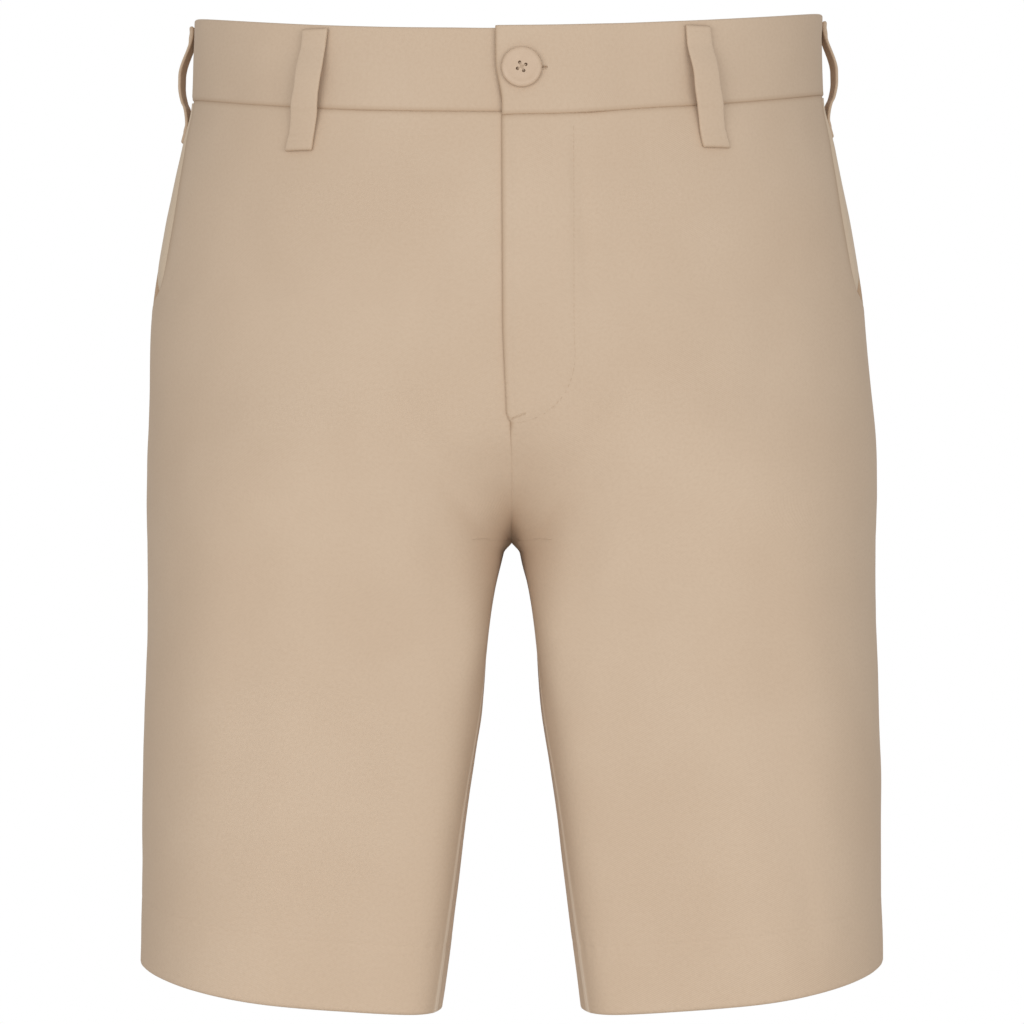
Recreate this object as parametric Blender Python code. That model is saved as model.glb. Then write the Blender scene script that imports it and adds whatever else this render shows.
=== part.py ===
"""Men's bermuda shorts in cotton twill, filled out as worn, with no wearer inside.

The shorts are two leg tubes that meet along the seat seam. Each tube is cut as a front and a
back, and a two-piece waistband closes over a zip fly with one button. Every cloth piece is a
closed wall: an outer grid of points on the worn form, and an inner grid a cloth thickness in.

Metres, +Z up, +X to the wearer's left, the front faces -Y. The origin is the centre of the
waist, half way up the waistband at the sides, where the wearer's waist holds the shorts.
"""

import math

import bmesh
import bpy
import numpy as np

# ---------------------------------------------------------------- driving sizes
SEAM_GAP = 0.0003  # air between two pieces that are sewn together
CLOTH = 0.0012  # wall of one panel
BAND_WALL = 0.0024  # waistband: two layers and a stiff one between them
BAND_HEIGHT = 0.0402
BAND_PROUD = 0.0005  # how far the band's face stands out over the panels
BAND_STEP = 0.0009  # how much higher its left half is at the front
HEM_FOLD = 0.0320  # depth of the turned-up hem
HEM_WALL = 0.0024  # wall of the hem, where the cloth lies double

WAIST_SEAM_SIDE = -0.0200  # height of the waist seam at the side
WAIST_DIP_FRONT = 0.0157  # how far the waist drops from the side to the centre front
WAIST_RISE_BACK = 0.0040  # and how far it climbs from the side to the centre back
LAP_SAG = 0.0017  # the left half's waist seam hangs this much lower by the fly
WAIST_ROLL = 0.0085  # the wearer's left side sits this much higher, per metre of X
LEG_SWAY = 0.0018  # the legs hang this far to the wearer's left of the waist's centre
LEG_SWAY_Z = (-0.1900, -0.1300)  # between these heights

CROTCH_Z = -0.2390
CROTCH_ARCH = 0.0028  # how much further apart the legs' inmost lines are just below it
# Added to the squareness of a leg's front on its inner side: down past the crotch, and below it.
INNER_FRONT_SQUARER = (1.5, 4.0)
HEM_MIDDLE = (0.1092, -0.4586)  # x and z of the hem's middle
HEM_REACH = 0.0730  # half the hem's width
HEM_ARCH_OUT = 0.0056  # the hem curves up by this much to its outer corner
HEM_ARCH_IN = 0.0014  # and by this much to its inner corner
HEM_INNER_DIP = 0.0024  # but behind the inseam it hangs this much lower
HEM_CLIMB = 0.085  # the hem climbs this much for each metre outwards
HEM_FRONT_DROP = 0.018  # and falls this much for each metre forwards
HEM_BACK_LIFT = 0.015

FLY_BOTTOM_Z = -0.1830  # where the fly's slit ends
FLY_TURN_Z = -0.1500  # where the line of stitches beside it turns in
FLY_WIDTH = 0.0311  # centre front to that line
FLY_LAP_TOP = 0.0036  # the left front passes the centre by this much at the waist
FLY_LAP_BOTTOM = 0.0018  # and by this much near the slit's end
FLY_SINK = 0.0010  # the right front's edge lies this much deeper, under the lap
BAND_LAP = 0.0055  # the left end of the waistband passes the centre by this much
BAND_UNDERLAP = 0.0380  # the right end runs on under the left one
BAND_LIFT = 0.0013  # the left end rises by this much
BAND_SINK = 0.0016  # and the right end sinks by this much

# The worn form, a row for each level. outer and inner are the leg tube's reach along X (where
# inner is below zero the two tubes run into one another, and each is cut off at the centre),
# front and back its reach along Y, and squareness the exponent of its superellipse.
FORM_COLUMNS = ("z", "outer", "inner", "front", "back", "squareness")
FORM = (
    (0.0300, 0.1563, -0.1563, -0.1115, 0.1030, 2.10),
    (0.0000, 0.1566, -0.1566, -0.1125, 0.1055, 2.10),
    (-0.0200, 0.1570, -0.1570, -0.1135, 0.1085, 2.10),
    (-0.0450, 0.1624, -0.1600, -0.1150, 0.1135, 2.12),
    (-0.0850, 0.1710, -0.1620, -0.1185, 0.1225, 2.15),
    (-0.1250, 0.1766, -0.1560, -0.1212, 0.1293, 2.20),
    (-0.1600, 0.1787, -0.1300, -0.1222, 0.1328, 2.24),
    (-0.1850, 0.1798, -0.0780, -0.1212, 0.1330, 2.27),
    (-0.2050, 0.1801, -0.0380, -0.1197, 0.1318, 2.28),
    (-0.2200, 0.1800, -0.0150, -0.1184, 0.1300, 2.30),
    (-0.2310, 0.1797, -0.0047, -0.1173, 0.1284, 2.30),
    (-0.2390, 0.1795, 0.0000, -0.1165, 0.1270, 2.30),
    (-0.2520, 0.1795, 0.0036, -0.1151, 0.1246, 2.30),
    (-0.2640, 0.1796, 0.0066, -0.1139, 0.1222, 2.30),
    (-0.2840, 0.1799, 0.0102, -0.1119, 0.1182, 2.30),
    (-0.3240, 0.1811, 0.0156, -0.1084, 0.1114, 2.30),
    (-0.3640, 0.1822, 0.0218, -0.1052, 0.1062, 2.28),
    (-0.4040, 0.1823, 0.0268, -0.1023, 0.1022, 2.26),
    (-0.4400, 0.1829, 0.0312, -0.1000, 0.0992, 2.25),
    (-0.4900, 0.1834, 0.0378, -0.0975, 0.0960, 2.25),
)

# Seam lines on the form, as degrees from the side: minus is towards the front.
SEAM_COLUMNS = ("z", "side_seam", "pocket_mouth")
SEAMS = (
    (0.0300, 7.0, -7.0),
    (-0.0200, 6.0, -9.0),
    (-0.0550, 3.5, -13.8),
    (-0.0850, 1.0, -16.6),
    (-0.1040, 0.0, -16.4),
    (-0.1150, -1.0, -14.8),
    (-0.1290, -2.0, -2.0),
    (-0.4900, -2.0, -2.0),
)
POCKET_END_Z = -0.1290
FACING_UNDER = 0.0280  # how far the pocket facing runs on behind the front
FACING_BELOW = 0.0120  # and how far below the mouth's end
FACING_DEPTH = 0.0011  # air between the facing and the front over it
FACING_DIVE = 0.0022  # and the further air at the mouth's end
FACING_WALL = 0.0010
INSEAM_FORWARD = 30.0  # degrees that the inseam lies forward of the inmost line at the hem
INSEAM_LENGTH = 0.2200  # from the crotch down to there

# Broad soft folds, as dents in the form: a row for each, on both legs. x and z are its middle
# seen from the front, lean its angle from upright (plus leans out as it rises), length and
# width its half sizes, and depth its trough (minus for a ridge).
FOLD_COLUMNS = ("face", "x", "z", "lean", "length", "width", "depth")
FOLDS = (
    ("front", 0.034, -0.205, 38.0, 0.045, 0.011, 0.0022),
    ("front", 0.052, -0.232, 22.0, 0.050, 0.012, -0.0012),
    ("front", 0.030, -0.285, 8.0, 0.050, 0.010, 0.0016),
    ("front", 0.062, -0.052, 78.0, 0.040, 0.011, 0.0011),
    ("front", 0.128, -0.330, -6.0, 0.090, 0.016, 0.0016),
    ("front", 0.098, -0.400, 2.0, 0.080, 0.022, -0.0012),
    ("back", 0.062, -0.232, 62.0, 0.045, 0.014, 0.0026),
    ("back", 0.078, -0.262, 54.0, 0.050, 0.011, 0.0022),
    ("back", 0.112, -0.330, 8.0, 0.080, 0.018, 0.0024),
    ("back", 0.060, -0.360, -6.0, 0.070, 0.014, 0.0018),
    ("back", 0.085, -0.135, 30.0, 0.055, 0.020, -0.0016),
    ("back", 0.140, -0.205, 20.0, 0.050, 0.014, 0.0016),
)

# Belt loops: where each crosses the waist, as degrees from the side at its top and bottom, and
# the further air in the middle, for a belt.
LOOP_WIDTH = 0.0135
LOOP_WALL = 0.0015
LOOP_CROWN = 0.0003  # its face is a little rounded
LOOP_FOLD = 0.0070  # the ends are folded under, this long
LOOP_FOLD_WALL = 0.0006  # and this much thicker there
LOOP_SEAT = 0.0006  # air under the sewn ends
LOOP_TOP_MARGIN = 0.0022
LOOP_BELOW_SEAM = 0.0205
LOOP_COLUMNS = ("name", "half", "degrees_top", "degrees_bottom", "bulge")
LOOPS = (
    ("loop_front_right", -1, -54.5, -53.4, 0.0042),
    ("loop_front_left", 1, -55.2, -53.5, 0.0042),
    ("loop_side_right", -1, 5.0, 5.0, 0.0060),
    ("loop_side_left", 1, 5.0, 5.0, 0.0060),
    ("loop_back", 1, 90.0, 90.0, 0.0060),
)

BUTTON_AT = (0.0064, -0.0146)  # x and z of the button's middle
BUTTON_RADIUS = 0.0096
BUTTON_THICK = 0.0026
BUTTON_SHANK = 0.0006  # radius of the thread stem that holds it
BUTTON_HOLE = 0.0008  # radius of each of its four holes
BUTTON_HOLE_OUT = 0.0022  # and its distance from the middle
BUTTONHOLE = (0.0030, 0.0190)  # x of the slit's two ends
BUTTONHOLE_WIDE = 0.0020
# The button turned about its stem: radius as a share, and height as a share of its thickness.
BUTTON_COLUMNS = ("radius", "height")
BUTTON_PROFILE = (
    (0.00, 0.82),
    (0.58, 0.82),
    (0.70, 0.97),
    (0.84, 1.00),
    (0.96, 0.82),
    (1.00, 0.52),
    (0.92, 0.18),
    (0.74, 0.00),
)

# The closed zip from the right tape's edge to the left one's: x, and height over the tapes.
ZIP_COLUMNS = ("x", "height")
ZIP = (
    (-0.0095, 0.0),
    (0.0026, 0.0),
    (0.0030, 0.0010),
    (0.0080, 0.0010),
    (0.0084, 0.0),
    (0.0200, 0.0),
)
ZIP_TAPE_WALL = 0.0008
ZIP_TOP_Z = -0.0500
ZIP_BOTTOM_Z = -0.1580

FLY_COLUMNS_AT = (0.0, 0.0036, 0.0100, 0.0200, 0.0300, 0.0400)  # the fronts' first grid lines
COLUMNS_GATHER = 1.35  # the power by which the other columns close up towards the side
ROWS_RISE = 15  # grid rows from the waist to the crotch
ROWS_LEG = 10  # and from there to the hem's fold
ROWS_GATHER = 1.45  # the power by which these close up towards the crotch
HEM_ROWS = (HEM_FOLD - 0.0008, HEM_FOLD / 2, 0.0)  # and in the hem, as heights over its edge

TWILL = (0.597, 0.462, 0.341, 1.0)
TWILL_DEEP = (0.560, 0.430, 0.315, 1.0)
HORN = (0.610, 0.475, 0.352, 1.0)


# ---------------------------------------------------------------- tables and curves
def columns(table, names):
    """A table as one array for each column, from the lowest level up."""
    rows = sorted(table)
    return {name: np.array([row[i] for row in rows], float) for i, name in enumerate(names)}


FORM_BY = columns(FORM, FORM_COLUMNS)
SEAM_BY = columns(SEAMS, SEAM_COLUMNS)


def smooth_value(by, name, z):
    """A column's value at the height z, on a curve through its rows that never overshoots."""
    levels, values = by["z"], by[name]
    z = min(max(z, levels[0]), levels[-1])
    i = min(int(np.searchsorted(levels, z, side="right")) - 1, len(levels) - 2)
    steps = np.diff(values) / np.diff(levels)

    def slope(k):
        if k <= 0 or k >= len(levels) - 1:
            return steps[min(k, len(steps) - 1)]
        before, after = steps[k - 1], steps[k]
        return 0.0 if before * after <= 0 else 2 * before * after / (before + after)

    span = levels[i + 1] - levels[i]
    t = (z - levels[i]) / span
    rise = values[i + 1] - values[i]
    first, last = slope(i) * span, slope(i + 1) * span
    bend, twist = 3 * rise - 2 * first - last, first + last - 2 * rise
    return values[i] + t * first + t * t * bend + t**3 * twist


def ease(t):
    """0 to 1 with a level start and end."""
    t = min(max(t, 0.0), 1.0)
    return t * t * (3 - 2 * t)


def running_length(line):
    return np.concatenate([[0.0], np.cumsum(np.linalg.norm(np.diff(line, axis=0), axis=1))])


def point_at(line, lengths, wanted):
    """The point and the direction of a line at a length along it."""
    wanted = min(max(wanted, 0.0), lengths[-1])
    i = max(min(int(np.searchsorted(lengths, wanted, side="right")) - 1, len(line) - 2), 0)
    t = (wanted - lengths[i]) / max(lengths[i + 1] - lengths[i], 1e-12)
    before, after = line[max(i - 1, 0)], line[min(i + 2, len(line) - 1)]
    return line[i] + t * (line[i + 1] - line[i]), (after - before) / np.linalg.norm(after - before)


def outward(along, up):
    """The direction out of the cloth, from the way round it and the way up it."""
    out = np.cross(along, up)
    return out / np.linalg.norm(out)


# ---------------------------------------------------------------- the worn form
LINE_POINTS = 140


def fold_depth(x, y, z):
    """How far the broad folds dent the form there."""
    total = 0.0
    for face, fx, fz, lean, length, width, depth in FOLDS:
        on_face = ease(-y / 0.03) if face == "front" else ease(y / 0.03)
        turn = math.radians(lean)
        dx, dz = x - fx, z - fz
        along = (dx * math.sin(turn) + dz * math.cos(turn)) / length
        across = (dx * math.cos(turn) - dz * math.sin(turn)) / width
        total += on_face * depth * math.exp(-(across**2) - along**4)
    return total


def centre_round(z):
    """Radius that rounds the crease at the centre, which dies away at the crotch."""
    return 0.016 * ease((z - CROTCH_Z) / 0.075)


def inner_squarer(z):
    """What is added to the squareness of a leg's front on its inner side, below the fly."""
    past_crotch, lower = INNER_FRONT_SQUARER
    total = past_crotch * ease((CROTCH_Z + 0.045 - z) / 0.070)
    return total + lower * ease((CROTCH_Z - 0.004 - z) / 0.050)


def tube(z, start, end):
    """Points of the leg tube at the height z between two angles, in degrees from the side."""
    outer, inner, front, back, squareness = (
        smooth_value(FORM_BY, name, z) for name in FORM_COLUMNS[1:]
    )
    middle, reach, level = (outer + inner) / 2, (outer - inner) / 2, (front + back) * 0.075
    turn = np.radians(np.linspace(start, end, LINE_POINTS))
    below = CROTCH_Z - z
    inner_front = (np.cos(turn) < 0) & (np.sin(turn) < 0)
    square = squareness + inner_front * inner_squarer(z)
    across = np.sign(np.cos(turn)) * np.abs(np.cos(turn)) ** (2 / square)
    deep = np.abs(np.sin(turn)) ** (2 / square)
    depth = level + np.where(np.sin(turn) < 0, front - level, back - level) * deep
    arch = CROTCH_ARCH * ease(below / 0.0060) * (1 - ease((below - 0.03) / 0.06))
    near_inmost = np.exp(-(1 + np.cos(turn)) / 0.06)
    return np.stack([middle + reach * across + arch * near_inmost, depth], axis=1)


def inner_angle(z, face):
    """Degrees from the side to where the tube meets the centre, or to its inmost line."""
    outer, inner, squareness = (
        smooth_value(FORM_BY, name, z) for name in ("outer", "inner", "squareness")
    )
    share = ((outer + inner) / 2 - centre_round(z)) / ((outer - inner) / 2)
    if z <= CROTCH_Z or share >= 1:
        return 180.0
    if face < 0 and share > 0:
        squareness += inner_squarer(z)
    from_across = math.degrees(math.acos(abs(share) ** (squareness / 2)))
    return from_across if share <= 0 else 180.0 - from_across


def cut_line(z, face, edge, lap=0.0):
    """One panel's section at the height z, from its inner edge to the edge angle at the side.

    face is -1 for a front and 1 for a back. lap is how far a front passes the centre."""
    if z <= CROTCH_Z:
        below = CROTCH_Z - z
        forward = INSEAM_FORWARD * (below / INSEAM_LENGTH) ** 0.6 * ease(below / 0.02)
        if face < 0:
            return tube(z, forward - 180.0, edge)
        return np.concatenate([tube(z, forward - 180.0, -180.0)[:-1], tube(z, 180.0, edge)])
    line = tube(z, face * inner_angle(z, face), edge)
    line[:, 0] = np.sqrt(np.maximum(line[:, 0] ** 2 - centre_round(z) ** 2, 0.0))
    line[0, 0] = 0.0
    if lap > 0:
        past = line[1:][line[1:, 0] < lap] * (-1, 1)
        end = (-lap, np.interp(lap, line[:, 0], line[:, 1]))
        line = np.concatenate([[end], past[::-1], line])
    return line


def waist_z(x, y):
    """Height of the waist seam over a point of the waist."""
    if y < 0:
        level = WAIST_SEAM_SIDE - WAIST_DIP_FRONT * min(-y / 0.1135, 1.0) ** 1.5
    else:
        level = WAIST_SEAM_SIDE + WAIST_RISE_BACK * min(y / 0.1085, 1.0) ** 1.5
    return level + WAIST_ROLL * x


def lap_sag(half, x):
    """How much lower the lapped left half's waist seam hangs at an x by the fly."""
    return LAP_SAG * (1 - ease((x - 0.016) / 0.060)) if half > 0 else 0.0


def hem_z(x, y):
    """Height of the hem's edge over a point of the leg opening."""
    tip = HEM_FRONT_DROP if y < 0 else HEM_BACK_LIFT
    aside = x - HEM_MIDDLE[0]
    arch = (HEM_ARCH_OUT if aside > 0 else HEM_ARCH_IN) * (aside / HEM_REACH) ** 2
    return HEM_MIDDLE[1] + HEM_CLIMB * aside + arch + tip * y


def hem_dip(x, y):
    """How much lower the hem's edge hangs behind the inseam."""
    inwards = (HEM_MIDDLE[0] - x) / HEM_REACH
    return HEM_INNER_DIP * ease((inwards - 0.80) / 0.15) * ease((y + 0.085) / 0.045)


def fly_lap(z):
    """How far the left front passes the centre at the height z."""
    up_fly = (z - FLY_BOTTOM_Z) / (WAIST_SEAM_SIDE - FLY_BOTTOM_Z)
    lap = FLY_LAP_BOTTOM + (FLY_LAP_TOP - FLY_LAP_BOTTOM) * min(max(up_fly, 0.0), 1.0)
    return lap * ease((z - FLY_BOTTOM_Z - 0.005) / 0.012)


def fly_lift(x, z):
    """How far the lapped left front is raised, over the zip and the right front's edge.

    The fly ends at a line of stitches, straight down and then curved in to the slit's end."""
    below_turn = max(FLY_TURN_Z - z, 0.0) / (FLY_TURN_Z - FLY_BOTTOM_Z)
    over_line = math.hypot(x / FLY_WIDTH, below_turn)
    on_zip = 0.0009 + 0.0007 * ease(x / 0.004) - 0.0006 * ease((x - 0.010) / 0.014)
    return on_zip * (1 - ease((over_line - 0.88) / 0.38))


def fly_sink(x, z):
    """How far the right front's edge sinks under the lap."""
    down = ease((z - FLY_BOTTOM_Z + 0.026) / 0.030)
    return FLY_SINK * down * (1 - ease((x - FLY_LAP_TOP) / 0.024))


def swayed(points, half=1):
    """Points of one half put on the wearer's left or right, with the legs' sway."""
    bottom, top = LEG_SWAY_Z
    level = np.clip((points[..., 2] - bottom) / (top - bottom), 0, 1)
    moved = points.copy()
    moved[..., 0] = half * points[..., 0] + LEG_SWAY * (1 - level * level * (3 - 2 * level))
    return moved


# ---------------------------------------------------------------- making a solid
def cloth_wall(name, outer, inner, finish, gone=lambda row, column: False):
    """A closed wall between two grids of points. gone says which cells are cut away."""
    rows, count = outer.shape[:2]
    shell = bmesh.new()
    bmesh.ops.create_grid(shell, x_segments=count - 1, y_segments=rows - 1, size=1.0)
    place = shell.verts.layers.int.new("place")
    shell.verts.index_update()
    for vert in shell.verts:
        vert[place] = vert.index
    cut = [f for f in shell.faces if gone(*divmod(min(v.index for v in f.verts), count))]
    bmesh.ops.delete(shell, geom=cut, context="FACES")
    made = bmesh.ops.extrude_face_region(shell, geom=shell.faces[:])
    added = {item for item in made["geom"] if isinstance(item, bmesh.types.BMVert)}
    flat_outer, flat_inner = outer.reshape(-1, 3), inner.reshape(-1, 3)
    for vert in shell.verts:
        vert.co = (flat_outer if vert in added else flat_inner)[vert[place]]
    return finished(name, shell, finish)


def finished(name, shell, finish):
    """A bmesh as a named object with outward faces, smooth but for its edges."""
    bmesh.ops.recalc_face_normals(shell, faces=shell.faces)
    if shell.calc_volume(signed=True) < 0:
        bmesh.ops.reverse_faces(shell, faces=shell.faces)
    mesh = bpy.data.meshes.new(name)
    shell.to_mesh(mesh)
    shell.free()
    mesh.materials.append(finish)
    mesh.shade_smooth()
    mesh.set_sharp_from_angle(angle=math.radians(50))
    made = bpy.data.objects.new(name, mesh)
    bpy.context.scene.collection.objects.link(made)
    return made


def material(name, colour, roughness):
    made = bpy.data.materials.new(name)
    made.use_nodes = True
    shader = made.node_tree.nodes["Principled BSDF"]
    shader.inputs["Base Color"].default_value = colour
    shader.inputs["Roughness"].default_value = roughness
    return made


# ---------------------------------------------------------------- fronts and backs
class Panel:
    """One front or back, from its inner edge to its outer edge and from waist to hem."""

    def __init__(self, half, face, lap=False):
        self.half, self.face, self.lap = half, face, lap
        self.edge_name = "pocket_mouth" if face < 0 else "side_seam"
        self.kept = {}

    def line(self, z):
        key = round(z, 6)
        if key not in self.kept:
            edge = smooth_value(SEAM_BY, self.edge_name, z)
            line = cut_line(z, self.face, edge, fly_lap(z) if self.lap else 0.0)
            self.kept[key] = line, running_length(line)
        return self.kept[key]

    def spread(self, count, width):
        """Lengths across the panel of the grid's columns, closer together at both its edges."""
        left = 1 - np.linspace(0, 1, count - len(FLY_COLUMNS_AT) + 1)[1:]
        rest = width - (width - FLY_COLUMNS_AT[-1]) * left**COLUMNS_GATHER
        return np.concatenate([FLY_COLUMNS_AT, rest])

    def place(self, column, count, z):
        """The form at a grid column and height, the way along the section, and its length."""
        line, lengths = self.line(z)
        width = lengths[-1] - SEAM_GAP
        along = self.spread(count, width)[column]
        flat, way = point_at(line, lengths, SEAM_GAP / 2 + along)
        return np.array([*flat, z]), np.array([*way, 0.0]), along / width

    def point(self, column, count, z):
        """The point on the cloth's outer face, and its outward direction."""
        here, way, share = self.place(column, count, z)
        above = self.place(column, count, z + 0.0005)[0]
        below = self.place(column, count, z - 0.0005)[0]
        out = outward(way, above - below) * -self.face
        raised = -fold_depth(*here) * ease(share / 0.06) * ease((1 - share) / 0.06)
        if self.face < 0:
            raised += fly_lift(here[0], z) if self.lap else -fly_sink(here[0], z)
        return here + out * raised, out

    def inner_levels(self, top, bottom):
        """Heights of the rows at the inner edge: even down to the crotch, then wider and wider."""
        levels = []
        for start, end, rows, gather in (
            (top, CROTCH_Z, ROWS_RISE, 1.0),
            (CROTCH_Z, bottom, ROWS_LEG, ROWS_GATHER),
        ):
            fine = np.linspace(start, end, 300)
            lengths = running_length(np.array([[*self.line(z)[0][0], z] for z in fine]))
            along = lengths[-1] * np.linspace(0, 1, rows + 1) ** gather
            levels.extend(np.interp(along, lengths, fine)[1 if levels else 0:])
        return np.array(levels)

    def grid(self, count):
        """Outer and inner points: rows down to the hem's fold, then the rows of the hem."""
        down = ROWS_RISE + ROWS_LEG + 1
        outer = np.zeros((down + len(HEM_ROWS), count, 3))
        inner = np.zeros_like(outer)
        for i in range(count):
            at_waist, share = self.place(i, count, -0.025)[0], self.place(i, count, -0.140)[2]
            at_hem = self.place(i, count, -0.460)[0]
            top = waist_z(self.half * at_waist[0], at_waist[1]) - SEAM_GAP / 2
            sag = lap_sag(self.half, at_waist[0]) if self.face < 0 else 0.0
            bottom, dip = hem_z(at_hem[0], at_hem[1]), hem_dip(at_hem[0], at_hem[1])
            at_inner = self.inner_levels(top, bottom + HEM_FOLD)
            at_outer = np.linspace(top, bottom + HEM_FOLD, down)
            heights = at_inner + (at_outer - at_inner) * ease((share - 0.12) / 0.80)
            heights = heights - sag * np.clip((heights - top) / 0.020 + 1, 0, 1)
            hem = [bottom + row - dip * (1 - row / HEM_FOLD) for row in HEM_ROWS]
            for j, z in enumerate([*heights, *hem]):
                wall = CLOTH if j < down else HEM_WALL
                outer[j, i], out = self.point(i, count, z)
                inner[j, i] = outer[j, i] - out * wall
        return swayed(outer, self.half), swayed(inner, self.half)


# ---------------------------------------------------------------- waistband and belt loops
class Waist:
    """The whole waist, by the length round it from the centre front, minus to the right.

    Lengths are those of the waist seam's level, and shrink or grow with the ring at others."""

    def __init__(self):
        self.kept = {}
        self.girth = self.ring(WAIST_SEAM_SIDE)[1][-1]

    def ring(self, z):
        key = round(z, 6)
        if key not in self.kept:
            half = np.concatenate([cut_line(z, -1, 0.0)[:-1], cut_line(z, 1, 0.0)[::-1]])
            whole = np.concatenate([half[:-1], half[::-1] * (-1, 1)])
            self.kept[key] = whole, running_length(whole)
        return self.kept[key]

    def along(self, degrees):
        """Length from the centre front to an angle from the side."""
        line = cut_line(WAIST_SEAM_SIDE, -1, min(degrees, 0.0))
        beyond = tube(WAIST_SEAM_SIDE, 0.0, max(degrees, 0.0))
        return running_length(line)[-1] + running_length(beyond)[-1]

    def place(self, along, z):
        line, lengths = self.ring(z)
        flat, way = point_at(line, lengths, (along / self.girth % 1.0) * lengths[-1])
        return np.array([*flat, z]), np.array([*way, 0.0])

    def seam(self, along):
        """Height of the waist seam at a length round the waist."""
        flat = self.place(along, WAIST_SEAM_SIDE)[0]
        return waist_z(flat[0], flat[1])

    def point(self, along, z, raised=0.0):
        here, way = self.place(along, z)
        out = outward(way, self.place(along, z + 0.001)[0] - self.place(along, z - 0.001)[0])
        return here + out * raised, out


def band_raised(along, half):
    """How far the band's face stands out: the left end climbs over the right, which sinks."""
    if half > 0:
        return BAND_PROUD + BAND_LIFT * (1 - ease((along - BAND_UNDERLAP) / 0.022))
    return BAND_PROUD - BAND_SINK * (1 - ease((along - BAND_LAP - 0.002) / 0.020))


def band_piece(name, half, start, end, count, finish):
    """One half of the waistband, from its lapped end round to the centre back."""
    shares = [0.0, 0.24, 0.48, 0.54, 0.78, 1.0]
    stations = np.linspace(start, end, count)
    if half > 0:
        far = np.min(np.abs(stations[:, None] - BUTTONHOLE), axis=1) > 0.004
        stations = np.sort([*stations[far], *BUTTONHOLE])
        high = BAND_HEIGHT + BAND_STEP
        sag = lap_sag(half, BUTTON_AT[0])
        high += sag
        middle = (BUTTON_AT[1] - WAIST.seam(BUTTON_AT[0]) + sag) / high
        half_slit = BUTTONHOLE_WIDE / 2 / high
        shares[2:4] = middle - half_slit, middle + half_slit
    outer = np.zeros((len(shares), len(stations), 3))
    inner = np.zeros_like(outer)
    for i, along in enumerate(stations):
        sag = lap_sag(half, along)
        bottom = WAIST.seam(half * along) + SEAM_GAP / 2 - sag
        step = sag + (BAND_STEP * (1 - ease((along - 0.06) / 0.12)) if half > 0 else 0.0)
        for j, share in enumerate(shares):
            z = bottom + share * (BAND_HEIGHT + step)
            outer[j, i], out = WAIST.point(half * along, z, band_raised(along, half))
            inner[j, i] = outer[j, i] - out * BAND_WALL

    def gone(row, column):
        in_slit = BUTTONHOLE[0] - 1e-6 < stations[column] < BUTTONHOLE[1] - 1e-6
        return half > 0 and row == 2 and in_slit

    return cloth_wall(name, outer, inner, finish, gone)


def belt_loop(name, half, degrees_top, degrees_bottom, bulge, finish):
    """A strip of folded cloth, sewn down at both ends and standing off the band between."""
    ends = [half * WAIST.along(degrees) for degrees in (degrees_bottom, degrees_top)]
    seam = WAIST.seam(sum(ends) / 2)
    top, bottom = BAND_HEIGHT - LOOP_TOP_MARGIN, -LOOP_BELOW_SEAM
    folds = (top - LOOP_FOLD, bottom + LOOP_FOLD)
    heights = np.concatenate([
        (top, folds[0], folds[0] - 0.0006),
        np.linspace(folds[0] - 0.003, folds[1] + 0.003, 9),
        (folds[1] + 0.0006, folds[1], bottom),
    ])
    across = np.linspace(-LOOP_WIDTH / 2, LOOP_WIDTH / 2, 4)
    outer = np.zeros((len(heights), len(across), 3))
    inner = np.zeros_like(outer)
    for j, height in enumerate(heights):
        centre = ends[0] + (ends[1] - ends[0]) * (height - bottom) / (top - bottom)
        arch = ease((top - 0.003 - height) / 0.022) * ease((height - bottom - 0.003) / 0.026)
        air = LOOP_SEAT + BAND_PROUD * ease((height + 0.003) / 0.003) + bulge * arch
        folded = height >= folds[0] or height <= folds[1]
        wall = LOOP_WALL + (LOOP_FOLD_WALL if folded else 0.0)
        for i, aside in enumerate(across):
            crown = LOOP_CROWN * (1 - (2 * aside / LOOP_WIDTH) ** 2)
            inner[j, i], out = WAIST.point(centre + aside, seam + height, air)
            outer[j, i] = inner[j, i] + out * (wall + crown)
    return cloth_wall(name, outer, inner, finish)


# ---------------------------------------------------------------- pocket facing
def pocket_facing(name, half, finish):
    """The cloth that shows in the slanting pocket mouth and runs on behind the front."""
    rows, count = 11, 9
    outer = np.zeros((rows, count, 3))
    inner = np.zeros_like(outer)
    for i, share in enumerate(np.linspace(0, 1, count)):
        for j, down in enumerate(np.linspace(0, 1, rows)):
            z = WAIST_SEAM_SIDE - 0.004
            for _ in range(2):
                mouth, side = (smooth_value(SEAM_BY, n, z) for n in ("pocket_mouth", "side_seam"))
                line = tube(z, mouth - 30.0, side)
                lengths = running_length(line)
                shown = running_length(tube(z, mouth, side))[-1]
                reach = shown + FACING_UNDER * (1 - 0.5 * down**2)
                along = lengths[-1] - SEAM_GAP - (1 - share) * (reach - SEAM_GAP)
                flat, way = point_at(line, lengths, along)
                top = waist_z(half * flat[0], flat[1]) - SEAM_GAP * 3
                z = top + down * (POCKET_END_Z - FACING_BELOW - top)
            above = point_at(tube(z + 0.002, mouth - 30.0, side), lengths, along)[0]
            out = outward(np.array([*way, 0.0]), np.array([*(above - flat), 0.002]))
            past_mouth = along - (lengths[-1] - shown)
            under = CLOTH + FACING_DEPTH + FACING_DIVE * ease((POCKET_END_Z + 0.024 - z) / 0.020)
            rises = ease((past_mouth - 0.001) / 0.010) * ease((z - POCKET_END_Z - 0.006) / 0.020)
            sunk = under - (under - 0.0003) * rises
            outer[j, i] = np.array([*flat, z]) - out * sunk
            inner[j, i] = outer[j, i] - out * FACING_WALL
    return cloth_wall(name, swayed(outer, half), swayed(inner, half), finish)


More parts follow.
